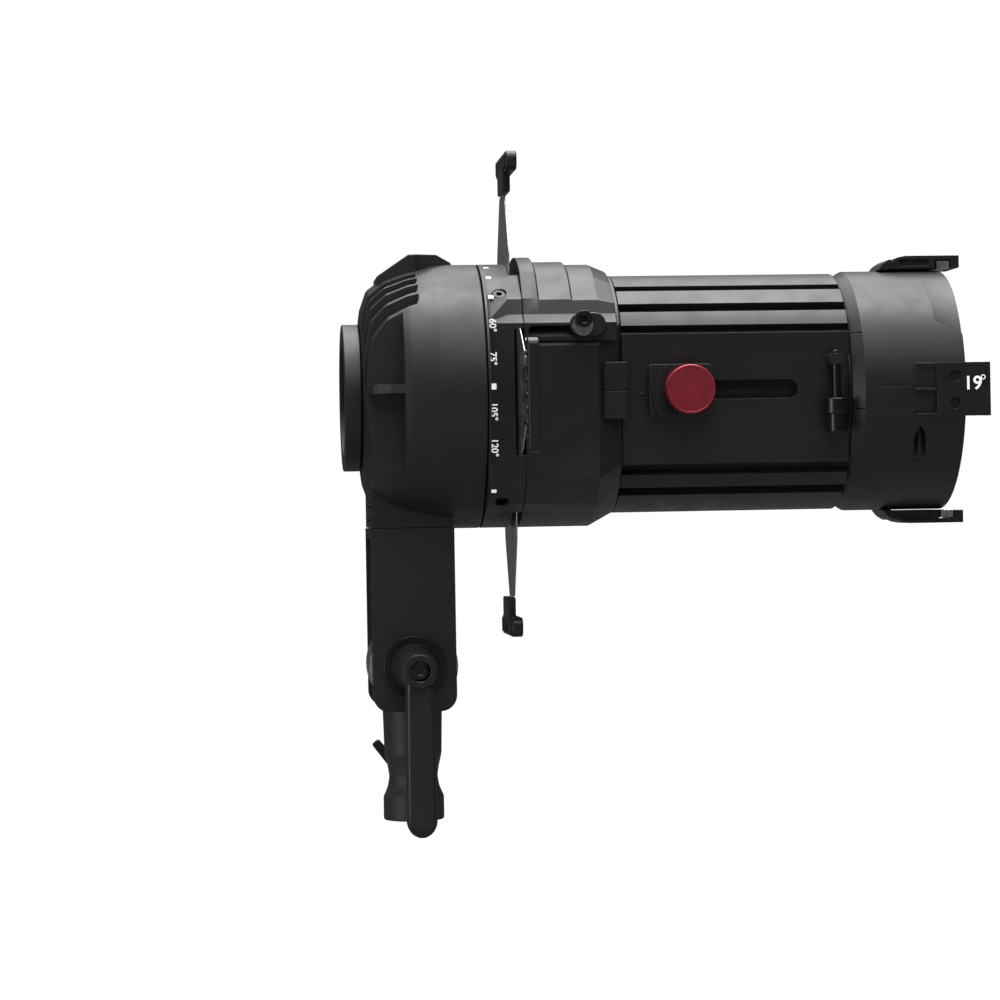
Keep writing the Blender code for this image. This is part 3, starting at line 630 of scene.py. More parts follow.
def rear_housing():
    rear, front = HOUSING_LOW.x, HOUSING_HIGH.x
    outer = eased(HOUSING_OUTER, 1.2, 4, closed=False)
    shell = [(rear, 30.0), (rear, 38.0), *outer, (front - 0.5, DRUM_R), (front, DRUM_R - 0.5), (front, 57.6)]
    shell += [(13.0, 57.6), (13.0, 50.5), (2.0, 43.0), (-9.0, 43.0), (-18.0, 38.5), (-18.0, 30.0)]
    housing = solid("rear_shell", turned(shell, steps=FINE), "casting")
    gaps = []
    for side in (-1, 1):
        for number in range(FIN_GAPS):
            near = FIRST_FIN_Y + FIN_PITCH * number + FIN_HALF
            far = near + FIN_PITCH - 2 * FIN_HALF
            gaps.append(fin_gap(*sorted((side * near, side * far))))
        low_y, high_y = sorted((side * POCKET_Y, side * 70.0))
        for low, high in ((4.0, 62.0), (-45.0, 0.0)):
            corners = [(-30.0, low), (POCKET_FRONT_X, low), (POCKET_FRONT_X, high), (-30.0, high)]
            outline = [(x, AXIS_Z + z) for x, z in corners]
            gaps.append(prism(outline, "Y", low_y, high_y))
    cut(housing, *gaps)
    block = [(-14.0, 15.5, 55.8, 49.5), (0.8, 15.5, 65.8, 56.2), (4.0, 15.5, 65.9, 57.0)]
    block += [(14.2, 9.0, 66.1, 59.4), (21.6, 4.0, 62.4, 59.8)]
    join(housing, loft([boss_section(x, w, AXIS_Z + z, r, 0.0) for x, w, z, r in block]), 0.8)
    top = YOKE_HIGH.z + 0.3
    foot = [(-19.0, 47.5), (-10.0, 52.0), (0.0, 56.0), (12.0, 59.2), (19.0, 59.6)]
    join(housing, loft([boss_section(x, 25.2, top, r, 180.0) for x, r in foot]))
    cut(housing, box((-19.6, -27.0, 120.0), (19.6, 27.0, top)))
    hang(housing, "head", "rear_housing")

    flange = [(-30.3, 27.0), (-30.3, 34.3), (-22.8, 34.3), (-22.8, 30.6)]
    flange += [(-22.3, 29.6), (-18.6, 29.6), (-18.6, 27.0)]
    piece("lamp_flange", turned(flange, steps=FINE, reach=0.5), "casting", "head", "mount_flange")
    for side in (-1, 1):
        block = prism(rounded(3.0, 2.2, 1.4, (-14.0, AXIS_Z + 2.0)), "Y", *sorted((side * 43.9, side * 51.4)))
        piece("rib_boss_" + ("far" if side > 0 else "near"), block, "casting", "head", bevel=0.5)
    for number in range(2):
        head_z = YOKE_HIGH.z + 4.6 + 6.2 * number
        socket = [(-20.2, 0.9), (-20.2, 1.5), (-18.7, 1.5), (-18.7, 0.0), (-19.5, 0.0), (-19.5, 0.9)]
        head = turned(socket, "X", (0, -21.0, head_z), SMALL, reach=0.15)
        piece(f"foot_screw_{number + 1}", head, "dark_steel", "head")


# Gate


def scale_section(x, spread):
    """The scale ring's cross section: its upper corners are cut in facets that open out towards the front."""
    closed = [(49.3, 31.7), (49.4, 31.45), (GATE_FLAT_Y, 31.2)]
    opened = [(44.6, 42.5), (46.6, 35.3), (GATE_FLAT_Y, 31.2)]
    corners = []
    for (ya, za), (yb, zb) in zip(closed, opened):
        corners.append((ya + (yb - ya) * spread, za + (zb - za) * spread))
    side = [*corners, (GATE_FLAT_Y, FLAT_LOW_Z), LOW_CORNER]
    points = arc(DRUM_R, -CROWN_SPREAD, CROWN_SPREAD, 30)
    points += [(-y, AXIS_Z + z) for y, z in side]
    points += arc(DRUM_R, 180 - FOOT_SPREAD, 180 + FOOT_SPREAD, 34)
    points += [(y, AXIS_Z + z) for y, z in reversed(side)]
    return [Vector((x, y, z)) for y, z in points]


def gate_ring():
    rear = 33.3
    rim = FACET_REAR_X + 0.5
    hub = [(28.5, 49.0), (28.5, 55.0), (rear, 55.0), (rear, DRUM_R), (rim, DRUM_R), (rim, 49.0)]
    scale = solid("scale_ring", turned(hub, steps=FINE), "ring")
    stations = [(FACET_REAR_X, 0.0), (FACET_FULL_X, 1.0), (JOIN_X, 1.0)]
    join(scale, loft([scale_section(*station) for station in stations]))
    cut(scale, pin("X", AXIS, 26.0, 52.0, BORE_R, FINE))
    opening = [(-WINDOW_HALF, 37.6), (WINDOW_HALF, 37.6), (WINDOW_HALF, 70.0), (-WINDOW_HALF, 70.0)]
    cut(scale, *[slab(opening, 46.0, 52.0, 90 * number) for number in range(4)])
    cut(scale, *[radial(SCALE_SCREW_X, angle, 51.6, 68.0, 3.3) for angle in SCALE_SCREW_ANGLES.values()])
    hang(scale, "gate", "gate_ring", sharp=FACET_ANGLE)
    for name, angle in SCALE_SCREW_ANGLES.items():
        screw = solid("scale_screw_" + name, radial(SCALE_SCREW_X, angle, 52.0, 60.3, 3.0), "dark_steel", 0.35)
        cut(screw, radial(SCALE_SCREW_X, angle, 58.7, 61.3, 1.5, 6))
        hang(screw, "gate", "gate_screw_" + name)


def scale_print():
    """Degree figures and square marks down the near side, and ticks over the top."""
    for words, z in FIGURES:
        place = (PRINT_X, -GATE_FLAT_Y - 0.02, AXIS_Z + z)
        lettering("scale_" + words[:-1], words, PRINT_HEIGHT, place, (0, 0, -1), (1, 0, 0), "gate")
    low = (PRINT_X - MARK_HALF, -GATE_FLAT_Y - 0.06, AXIS_Z + MARK_Z - MARK_HALF)
    high = (PRINT_X + MARK_HALF, -GATE_FLAT_Y + 0.1, AXIS_Z + MARK_Z + MARK_HALF)
    piece("scale_mark_90", box(low, high), "print", "gate")
    facet_low = Vector((0, -LOW_CORNER[0], LOW_CORNER[1]))
    facet_high = Vector((0, -GATE_FLAT_Y, FLAT_LOW_Z))
    along = (facet_high - facet_low).normalized()
    out = Vector((0, -along.z, along.y))
    middle = Vector((PRINT_X, 0, AXIS_Z)) + facet_high - along * LOW_MARK_DROP
    half, rise = Vector((LOW_MARK_HALF, 0, 0)), along * LOW_MARK_HALF
    corners = [middle - half - rise, middle + half - rise, middle + half + rise, middle - half + rise]
    mark = loft([[corner + out * height for corner in corners] for height in (-0.1, 0.06)])
    piece("scale_mark_135", mark, "print", "gate")
    for angle in (43.5, 30.0, 17.0):
        radius = DRUM_R if angle < CROWN_SPREAD else DRUM_R - 1.2
        low, high, front = radius - 0.4, radius + 0.05, TICK_X + TICK_LENGTH
        profile = [(TICK_X, low), (TICK_X, high), (front, high), (front, low)]
        mark = turned(profile, steps=4, span=(angle - TICK_SPREAD, angle + TICK_SPREAD))
        piece(f"scale_tick_{angle:.0f}", mark, "print", "gate")


def gate_section(x, top_r, flat, corner, bottom_r):
    """The gate's cross section: round above, flat down both sides and faceted below."""
    spread = math.degrees(math.asin(flat[0] / top_r))
    points = arc(top_r, -spread, spread, 60)
    points += [(-y, AXIS_Z + z) for y, z in (flat, corner)]
    points += arc(bottom_r, 180 - FOOT_SPREAD, 180 + FOOT_SPREAD, 34)
    points += [(y, AXIS_Z + z) for y, z in (corner, flat)]
    return [Vector((x, y, z)) for y, z in points]


def gate_housing():
    body = (56.0, (GATE_FLAT_Y, FLAT_LOW_Z), LOW_CORNER, DRUM_R)
    nose = (55.9, (46.6, -33.5), (35.6, -43.6), 55.7)
    sections = [gate_section(50.6, *body), gate_section(84.0, *body), gate_section(GATE_HIGH.x, *nose)]
    housing = solid("gate_shell", loft(sections), "ring", 0.25, 2)
    bore = [(50.0, 0.0), (50.0, 46.0), (80.0, 46.0), (80.0, 43.9), (96.0, 43.9), (96.0, 0.0)]
    cut(housing, turned(bore, steps=FINE))
    cut(housing, box((52.2, -38.0, AXIS_Z - 20.0), (57.8, 38.0, AXIS_Z + 62.0)))
    for low_y, high_y in ((-52.0, -46.6), (46.6, 52.0)):
        join(housing, pin("Y", (GUIDE_X, 0, AXIS_Z + COVER_SLOT[2]), low_y, high_y, GUIDE_R, reach=0.3))
    hang(housing, "gate", "gate_housing", sharp=FACET_ANGLE)


def shutters():
    for number, side in enumerate(("top", "near", "bottom", "far")):
        angle = 90 * number
        body = f"shutter_{side}"
        low_x = extent(f"shutter_{side}_blade")[0].x
        outline = [(-28.4, 26.0), (28.4, 26.0), (28.4, 66.0), (11.5, 94.2), (-11.5, 94.2), (-28.4, 66.0)]
        sheet_metal = slab(eased(outline, 3.0, 6), low_x, low_x + BLADE_THICKNESS, angle)
        piece(f"blade_{side}", sheet_metal, "steel", body, f"shutter_{side}_blade", bevel=0.12)
        neck = rounded(12.5, 6.2, 1.6, (HANDLE_SHIFT, GRIP_NECK_R))
        grip = solid(f"grip_{side}", slab(neck, 45.1, 48.8, angle), "grip", 0.5)
        head = rounded(25.0, 4.55, 3.6, (HANDLE_SHIFT, GRIP_R))
        join(grip, slab(head, 45.7, 50.9, angle), 0.8)
        hang(grip, body, f"shutter_{side}_handle")
        for rib in range(7):
            across = HANDLE_SHIFT + (rib - 3) * GRIP_RIB_PITCH
            ridge = slab(rounded(1.1, 3.4, 1.0, (across, GRIP_R)), 45.0, 45.9, angle)
            piece(f"grip_{side}_rib_{rib + 1}", ridge, "grip", body, bevel=0.3)


def cover_section(x, outer_r, corner_z, flank, low_z):
    """The slot cover's cross section: a faceted hood with a flank down each side."""
    corner_y = 46.6 - 0.32 * (corner_z - 35.3)
    half = [(corner_y, corner_z), (46.6, 35.3), (flank, 31.2), (flank, low_z)]
    outer = arc(outer_r, CROWN_SPREAD, -CROWN_SPREAD, 30)
    end = math.degrees(math.asin(50.3 / 56.3))
    inner = arc(56.3, -end, end, 50)
    points = [(-y, AXIS_Z + z) for y, z in reversed(half)] + outer + [(y, AXIS_Z + z) for y, z in half]
    points += [(inner[0][0], AXIS_Z + low_z)] + inner + [(inner[-1][0], AXIS_Z + low_z)]
    return [Vector((x, y, z)) for y, z in points]


def slot_cover():
    low_z = COVER_LOW.z - AXIS_Z
    stops = [(50.6, 64.8, 42.8), (57.6, 64.8, 42.8), (58.4, 62.6, 42.2)]
    stops += [(72.9, 62.6, 42.2), (73.7, 61.2, 41.8), (85.1, 61.2, 41.8)]
    stops = [(*stop, 52.5) for stop in stops] + [(93.0, 57.9, 40.2, 51.4)]
    cover = solid("cover_shell", loft([cover_section(*stop, low_z) for stop in stops]), "ring", 0.3, 2)
    slot_rear, slot_front, slot_z, slot_half = COVER_SLOT
    slot_middle = ((slot_rear + slot_front) / 2, AXIS_Z + slot_z)
    outline = rounded((slot_front - slot_rear) / 2, slot_half, slot_half - 0.1, slot_middle)
    centre = (SCREW_X, 0, AXIS_Z + SCREW_Z)
    for low_y, high_y in ((-60.0, -44.0), (44.0, 60.0)):
        cut(cover, prism(outline, "Y", low_y, high_y))
        cut(cover, pin("Y", centre, low_y, high_y, 2.0))
    hang(cover, "slot_cover", "slot_cover", sharp=FACET_ANGLE)
    mark = box((50.9, -52.6, AXIS_Z + low_z + 0.3), (54.6, -52.3, AXIS_Z + low_z + 1.5))
    piece("cover_index", mark, "print", "slot_cover")

    for name, side in (("near", -1), ("far", 1)):
        def across(low, high):
            return sorted((side * low, side * high))

        outline = rounded(8.25, 5.5, 5.4, (CLAMP_PLATE[0], AXIS_Z + CLAMP_PLATE[1]), 12)
        clamp = solid(f"clamp_plate_{name}", prism(outline, "Y", *across(52.8, 55.4)), "ring", 0.7, 4)
        cut(clamp, pin("Y", centre, *across(50.0, 58.0), 2.2))
        hang(clamp, "slot_cover", "cover_clamp_" + name)
        shank = [(47.4, 0.0), (47.4, 1.8), (56.5, 1.8), (56.5, 3.9), (60.5, 3.9), (60.5, 0.0)]
        profile = [(side * a, r) for a, r in shank]
        screw = solid(f"thumb_screw_{name}", turned(profile, "Y", centre, ROUND, reach=0.5), "dark_steel")
        cut(screw, prism(hexagon(SCREW_X, centre[2], 2.1), "Y", *across(58.3, 62.0)))
        hang(screw, "cover_screw_" + name, "cover_screw_" + name)
        disc = pin("Y", (SCREW_X, 0, centre[2] - 2.6), *across(55.5, 56.3), 4.7, ROUND, reach=0.2)
        washer = solid(f"screw_washer_{name}", disc, "steel")
        cut(washer, pin("Y", centre, *across(54.0, 58.0), 2.1))
        hang(washer, "slot_cover")


def tube_latch():
    low, high = LATCH_LOW, LATCH_HIGH
    for name, low_z, high_z in (("lower", low.z, AXIS_Z - 0.15), ("upper", AXIS_Z + 0.15, high.z)):
        outline = [(low.x, high.y), (high.x, high.y), (high.x, low.y + 0.8), (high.x - 1.2, low.y)]
        outline += [(low.x + 1.2, low.y), (low.x, low.y + 0.8)]
        block = prism(outline, "Z", low_z, high_z)
        nodes = ["tube_latch"] if name == "lower" else []
        piece(f"latch_{name}", block, "ring", "tube_latch", *nodes, bevel=0.3)


# Lens tube


def tube_section(x):
    """A circle with flats on the near and far sides, rolled a little about the axis."""
    half = math.degrees(math.acos(TUBE_FLAT / TUBE_R))
    near = 90.0 + TUBE_ROLL
    points = arc(TUBE_R, near + half, near + 180.0 - half, 50)
    points += arc(TUBE_R, near + 180.0 + half, near + 360.0 - half, 50)
    return [Vector((x, y, z)) for y, z in points]


def lens_tube():
    barrel = solid("barrel_shell", loft([tube_section(x) for x in (TUBE_REAR_X, TUBE_FRONT_X)]), "ring", 0.4)
    join(barrel, turned([(86.0, 40.0), (86.0, 43.6), (97.0, 43.6), (97.0, 40.0)], steps=FINE))
    spigot = [(TUBE_FRONT_X - 0.6, 40.0), (TUBE_FRONT_X - 0.6, 50.5)]
    spigot += [(HOOD_LOW.x + 11.6, 50.5), (HOOD_LOW.x + 11.6, 40.0)]
    join(barrel, turned(spigot, steps=FINE))
    lug = rounded(3.05, 2.4, 0.8, (CLAMP_X - 0.35, AXIS_Z + 13.0))
    join(barrel, prism(lug, "Y", -57.0, -44.0))
    cut(barrel, pin("X", AXIS, 80.0, 220.0, TUBE_BORE_R, FINE))
    grooves = []
    low_x, high_x, open_r = TUBE_REAR_X - 1.3, TUBE_FRONT_X + 2.4, TUBE_R + 2.3
    profile = [(low_x, GROOVE_FLOOR_R), (low_x, open_r), (high_x, open_r), (high_x, GROOVE_FLOOR_R)]
    for side in (1, -1):
        middle = 180.0 - side * (90.0 - TUBE_ROLL)
        for low, high in UPPER_GROOVES:
            span = sorted((middle - side * high, middle - side * low))
            grooves.append(turned(profile, steps=8, span=span))
        for low, high in LOWER_GROOVES:
            span = sorted((middle + side * low, middle + side * high))
            grooves.append(turned(profile, steps=8, span=span))
    cut(barrel, *grooves, solver="MANIFOLD")
    outline = rounded(FOCUS_TRAVEL / 2 + FOCUS_HALF, FOCUS_HALF, 4.2, (KNOB_X + FOCUS_TRAVEL / 2, AXIS_Z), 12)
    cut(barrel, prism(outline, "Y", -60.0, -30.0))
    cut(barrel, pin("Z", (CLAMP_X, CLAMP_Y, AXIS_Z), 8.0, 20.0, 2.3))
    hang(barrel, "lens_tube", "lens_barrel")

    low, high = PLATE_LOW, PLATE_HIGH
    middle_x, half_x = (low.x + high.x) / 2, (high.x - low.x) / 2
    half_z = (high.z - low.z) / 2
    outline = rounded(half_x, half_z, 1.6, (middle_x, AXIS_Z))
    plate = solid("slider_shell", prism(outline, "Y", low.y, high.y), "ring", 0.35)
    cut(plate, pin("Y", (KNOB_X, 0, AXIS_Z), -52.0, -47.0, 3.5))
    hang(plate, "focus_carriage", "slider_plate")
    for rib in range(3):
        outline = []
        bow, reach = 34.0, half_z - 0.9
        left = low.x + 1.3 + 4.2 * rib
        spread = math.degrees(math.asin(reach / bow))
        for radius, turns in ((bow, 1), (bow - 1.1, -1)):
            for i in range(13):
                angle = math.radians(180 + turns * spread * (1 - 2 * i / 12))
                outline.append((left + bow + radius * math.cos(angle), AXIS_Z + radius * math.sin(angle)))
        ridge = prism(outline, "Y", low.y - 1.2, low.y + 0.1)
        piece(f"slider_rib_{rib + 1}", ridge, "ring", "focus_carriage", bevel=0.25)
    for name, z in (("upper", 6.6), ("lower", -2.5)):
        centre = (104.6, 0, AXIS_Z + z)
        profile = [(-47.4, 0.8), (-47.4, 1.5), (-45.0, 1.5), (-45.0, 0.0), (-46.6, 0.0), (-46.6, 0.8)]
        screw = turned(profile, "Y", centre, SMALL, reach=0.1)
        piece("panel_screw_" + name, screw, "dark_steel", "lens_tube")

    centre = (KNOB_X, 0, AXIS_Z)
    front = KNOB_LOW.y
    grip = [(front + 0.25, 0.0), (front + 0.25, 10.3), (front, 10.6), (front + 0.2, 10.95)]
    grip += [(front + 0.7, 11.25), (-52.6, 11.25), (-51.2, 10.0), (-51.2, 3.0), (-38.2, 3.0), (-38.2, 0.0)]
    piece("focus_grip", turned(grip, "Y", centre, FINE, reach=0.15), "red", "focus_knob", "focus_knob")

    rod = [(17.0, 0.0), (17.0, 2.0), (-5.0, 2.0), (-5.0, 6.2), (-12.0, 6.2)]
    rod += [(-12.0, 4.65), (-20.4, 4.65), (-20.4, 0.0)]
    screw = turned(rod, "Z", (CLAMP_X, CLAMP_Y, AXIS_Z), ROUND, reach=0.5)
    piece("clamp_screw", screw, "dark_steel", "ring_clamp", "ring_clamp_screw")


# Front ring


def thumb_recess(side):
    """A shallow scoop at the rim that fades in as it goes down; side is 1 near and -1 far."""
    steps, front = 24, HOOD_HIGH.x + 2.0
    loops = []
    for i in range(steps + 1):
        t = i / steps
        floor = RING_R + 0.05 - 1.8 * t
        rear_angle, rim_angle = side * (24.0 + 34.0 * t), side * (24.0 + 42.0 * t)
        rear = RECESS_X + 1.1 * t
        corners = [(rear, floor, rear_angle), (front, floor, rim_angle)]
        corners += [(front, RING_R + 2.0, rim_angle), (rear, RING_R + 2.0, rear_angle)]
        loops.append([around("X", AXIS, *corner) for corner in corners])
    return loft(loops)


def front_ring():
    rear, front = HOOD_LOW.x, HOOD_HIGH.x
    hood = [(rear, 50.9), (rear, 53.0), (rear + 5.6, RING_R), (front, RING_R), (front, 53.2)]
    hood += [(rear + 12.2, 53.2), (rear + 12.2, 50.9)]
    ring = solid("hood_shell", turned(hood, steps=FINE, reach=0.5), "ring")
    cut(ring, thumb_recess(1), thumb_recess(-1))
    arch = [(-2.8, -32.5), (2.8, -32.5), (2.8, -23.5), (1.5, -20.0), (0.0, -18.0)]
    arch += [(-1.5, -20.0), (-2.8, -23.5)]
    outline = eased([(NOTCH_X + x, AXIS_Z + z) for x, z in arch], 1.2, 4)
    cut(ring, prism(outline, "Y", -60.0, -46.5))
    cut(ring, box((rear + 6.0, -58.0, AXIS_Z - 0.2), (NOTCH_X - 2.0, RING_R * -0.99, AXIS_Z + 0.2)))
    for z in (-10.0, 25.0):
        cut(ring, box((rear - 1.0, -60.0, AXIS_Z + z - 0.2), (rear + 5.4, -44.0, AXIS_Z + z + 0.2)))
    hang(ring, "front_ring", "front_ring")
    tongue = prism(rounded(0.8, 6.6, 0.7, (NOTCH_X, AXIS_Z - 26.0)), "Y", -49.6, -43.5)
    piece("notch_tongue", tongue, "ring", "front_ring", bevel=0.3)
    backing = prism(rounded(3.8, 9.5, 1.0, (NOTCH_X, AXIS_Z - 25.0)), "Y", -45.6, -43.0)
    piece("notch_backing", backing, "label", "front_ring", bevel=0.2)

    for name, angle in (("top", 0), ("bottom", 180), ("far", 270)):
        accessory_clip(name, angle)
    label_bracket()


def accessory_clip(name, angle):
    """A hooked clip: its back rises in ribs, and a window opens its side."""

    def plate(outline, low, high):
        return loft([[swung(x, across, radius, angle) for x, radius in outline] for across in (low, high)])

    side = [(224.5, 56.9), (226.4, 58.9), (229.4, 61.1), (232.5, 62.5), (236.0, 63.1), (261.6, 63.1)]
    side += [(261.6, 57.2), (257.8, 57.2), (257.8, 61.1), (250.0, 61.1), (250.0, 56.9)]
    clip = solid(f"clip_{name}", plate(eased(side, 0.5, 3), -CLIP_HALF, CLIP_HALF), "label", 0.3)
    panel = rounded(7.2, 1.5, 0.8, (240.0, 59.9))
    cut(clip, plate(panel, -14.0, -10.6), plate(panel, 10.6, 14.0))
    hang(clip, "front_ring", "accessory_clip_" + name)
    for rib in range(2):
        back = 222.6 + 2.6 * rib
        outline = [(0.0, 56.4), (2.6, 59.6), (5.8, 61.6), (7.0, 60.4), (3.8, 58.6), (1.5, 56.4)]
        ridge = plate(eased([(back + x, r) for x, r in outline], 0.4, 3), -12.5, 12.5)
        piece(f"clip_{name}_rib_{rib + 1}", ridge, "label", "front_ring", bevel=0.2)
    pad = plate([(251.0, 57.0), (257.2, 57.0), (257.2, 60.6), (251.0, 60.6)], -11.4, 11.4)
    piece(f"clip_{name}_pad", pad, "steel", "front_ring", bevel=0.2)


def label_bracket():
    low, high = LABEL_LOW, LABEL_HIGH
    middle = (low.z + high.z) / 2
    lip_x, rear, back = high.x - LABEL_LIP, LABEL_REAR_X, LABEL_BACK_Y
    outline = [(rear, back), (rear, low.y), (high.x, low.y), (high.x, high.y), (lip_x, high.y), (lip_x, back)]
    plate = prism(eased(outline, 0.4, 3), "Z", low.z, high.z)
    bracket = solid("label_plate", plate, "label", 0.25)
    cut(bracket, *[pin("Y", (LABEL_HOLE_X, 0, middle + z), -62.0, -57.6, 2.7) for z in (-6.3, 6.3)])
    hang(bracket, "front_ring", "label_bracket")
    for number, z in enumerate((11.5, 0.0, -11.5)):
        rib = prism(rounded(4.9, 0.65, 0.6, (234.0, middle + z)), "Y", LABEL_BACK_Y - 2.0, LABEL_BACK_Y)
        piece(f"label_rib_{number + 1}", rib, "label", "front_ring", bevel=0.2)
    face = low.y - 0.02
    lettering("lens_angle", "19", 6.1, (255.4, face, AXIS_Z + 0.7), (1, 0, 0), (0, 0, 1), "front_ring")
    profile = [(face - 0.06, 0.7), (face - 0.06, 1.15), (face + 0.1, 1.15), (face + 0.1, 0.7)]
    sign = turned(profile, "Y", (260.2, 0, AXIS_Z + 3.6), SMALL)
    piece("lens_angle_degree", sign, "print", "front_ring")


# Yoke, tilt clamp and stand receiver


def yoke():
    half_x, outer = YOKE_HIGH.x, YOKE_HIGH.y
    inner = outer - YOKE_SHEET
    top, web, low = YOKE_HIGH.z, YOKE_HIGH.z - YOKE_SHEET, YOKE_LOW.z
    outline = [(-outer, low), (-inner, low), (-inner, web), (inner, web), (inner, low), (outer, low)]
    outline += [(outer, top), (-outer, top)]
    bracket = solid("yoke_plate", prism(outline, "X", -half_x, half_x), "plate")
    corners = []
    for side in (-1, 1):
        x, z, out = side * (half_x - YOKE_CORNER_R), low + YOKE_CORNER_R, side * (half_x + 1)
        points = [(out, z), (out, low - 1), (x, low - 1)]
        for i in range(13):
            angle = math.radians(90 * i / 12)
            across, down = YOKE_CORNER_R * math.sin(angle), YOKE_CORNER_R * math.cos(angle)
            points.append((x + side * across, z - down))
        corners.append(prism(points, "Y", -30.0, 30.0))
    cut(bracket, *corners)
    cut(bracket, pin("Y", TILT, -30.0, 30.0, BOLT_BORE_R, ROUND))
    hang(bracket, "head", "yoke_bracket")
    for name, x in (("front", 10.0), ("rear", -10.0)):
        low_z = web - 4.3
        shank = [(low_z, 0.0), (low_z, 5.0), (web - 0.3, 5.0), (web - 0.3, 3.0), (141.0, 3.0), (141.0, 0.0)]
        screw = turned(shank, "Z", (x, 0, 0), SMALL, reach=0.4)
        piece("web_screw_" + name, screw, "dark_steel", "head", "yoke_screw_" + name)


def tilt_clamp():
    low, high = WASHER_LOW.y, WASHER_HIGH.y
    profile = [(low, BOLT_BORE_R), (low, WASHER_R), (high, WASHER_R), (high, BOLT_BORE_R)]
    washer = turned(profile, "Y", TILT, ROUND, reach=0.4)
    piece("clamp_washer", washer, "dark_steel", "tilt_bolt", "tilt_washer")
    hub = [(-27.5, BOLT_BORE_R), (-27.5, 11.2), (-30.5, 11.2), (-34.0, 10.0), (-54.0, 8.4), (-63.0, 7.6)]
    hub += [(-63.0, 4.6), (-56.0, 4.6), (-56.0, 2.4), (-54.5, 2.4), (-54.5, BOLT_BORE_R)]
    lever = solid("lever_arm", turned(hub, "Y", TILT, 96, reach=0.6), "lever")
    front = LEVER_LOW.y + 1.4
    stations = [(TILT_Z - 3.0, 6.3, front + 6.8, front + 0.6), (TILT_Z - 12.0, 6.5, front + 8.0, front + 0.2)]
    stations += [(30.0, 6.7, front + 8.6, front), (LEVER_TIP_Z, LEVER_HALF, front + LEVER_DEPTH, front)]
    tip_turns = 7
    for i in range(1, tip_turns):
        angle = math.radians(90 * i / tip_turns)
        shrink = math.cos(angle)
        middle, half = front + LEVER_DEPTH / 2, LEVER_DEPTH / 2 * (0.35 + 0.65 * shrink)
        z = LEVER_TIP_Z - (LEVER_HALF + 1.0) * math.sin(angle)
        stations.append((z, LEVER_HALF * shrink, middle + half, middle - half))
    sections = []
    for z, half, back, face in stations:
        middle = (back + face) / 2
        corner = min(2.4, half * 0.8, (back - face) * 0.4)
        outline = rounded(half, (back - face) / 2, corner, (0.0, middle), 5)
        sections.append([Vector((x, y, z)) for x, y in outline])
    join(lever, loft(sections))
    cut(lever, pin("Y", TILT, -66.0, -56.0, 4.6, ROUND))
    hang(lever, "tilt_lever", "tilt_lever")

    head = [(-62.2, 0.0), (-62.2, 3.5), (-61.8, 3.9), (-60.4, 3.9), (-60.4, 2.0), (-47.5, 2.0), (-47.5, 0.0)]
    screw = solid("lever_screw", turned(head, "Y", TILT, ROUND, reach=0.2), "dark_steel")
    cut(screw, prism(hexagon(0.0, TILT_Z, 1.9), "Y", -64.0, -60.9))
    hang(screw, "tilt_bolt", "tilt_lever_screw")

    nut_low, nut_high = extent("tilt_nut")
    nut = solid("lock_nut", prism(hexagon(0.0, TILT_Z, 9.8), "Y", nut_low.y, nut_high.y), "dark_steel", 0.5)
    cut(nut, pin("Y", TILT, 20.0, 36.0, BOLT_BORE_R, ROUND))
    hang(nut, "head", "tilt_nut")
    shaft = [(-53.0, 2.3), (-53.0, 4.9), (34.0, 4.9), (34.0, 0.0), (-45.5, 0.0), (-45.5, 2.3)]
    piece("bolt_shaft", turned(shaft, "Y", TILT, ROUND, reach=0.4), "dark_steel", "tilt_bolt", "tilt_bolt")


def stand_receiver():
    stem = [(0.0, 8.1), (0.0, 14.2), (11.0, 14.2), (12.5, 13.4), (16.0, 12.0), (20.4, 11.3), (25.0, 12.0)]
    stem += [(31.0, 13.4), (52.0, 13.9), (TILT_Z, 13.9), (TILT_Z, 0.0), (38.0, 0.0), (38.0, 8.1)]
    receiver = solid("receiver_body", turned(stem, "Z", (0, 0, 0), 144, reach=1.2), "stand")
    join(receiver, pin("Y", TILT, -19.4, 19.4, 14.3, 96, reach=0.8))
    cut(receiver, pin("Y", TILT, -22.0, 22.0, BOLT_BORE_R, ROUND))
    cut(receiver, pin("Y", (0, 0, LOCK_Z), 4.0, 20.0, 3.2, ROUND))
    hang(receiver, "receiver", "stand_receiver")
    for name, side in (("near", -1), ("far", 1)):
        profile = [(side * 19.7, 5.6), (side * 19.7, 20.4), (side * 20.7, 20.4), (side * 20.7, 5.6)]
        disc = turned(profile, "Y", TILT, 96, reach=0.2)
        piece("wear_disc_" + name, disc, "steel", "receiver", "friction_disc_" + name)

    centre = (0, 0, LOCK_Z)
    shank = [(8.5, 0.0), (8.5, 2.9), (26.3, 2.9), (26.3, 5.5), (29.5, 5.0), (29.5, 0.0)]
    screw = turned(shank, "Y", centre, ROUND, reach=0.3)
    piece("lock_screw", screw, "dark_steel", "socket_lock", "socket_lock_screw")
    hub = turned([(15.0, 3.3), (15.0, 6.5), (26.0, 6.5), (26.0, 3.3)], "Y", centre, ROUND, reach=0.6)
    arm = solid("lock_arm", hub, "lever")
    lean = math.radians(LOCK_LEAN)
    along = Vector((math.cos(lean), 0, math.sin(lean)))
    across = Vector((-along.z, 0, along.x))
    outline = eased([(4.5, -2.6), (26.8, -2.1), (26.8, 2.1), (4.5, 2.6)], 1.2, 4)
    points = [Vector(centre) + along * a + across * b for a, b in outline]
    join(arm, loft([[point + Vector((0, y, 0)) for point in points] for y in (18.0, 23.0)]), 0.4)
    hang(arm, "socket_lock", "socket_lock_arm")


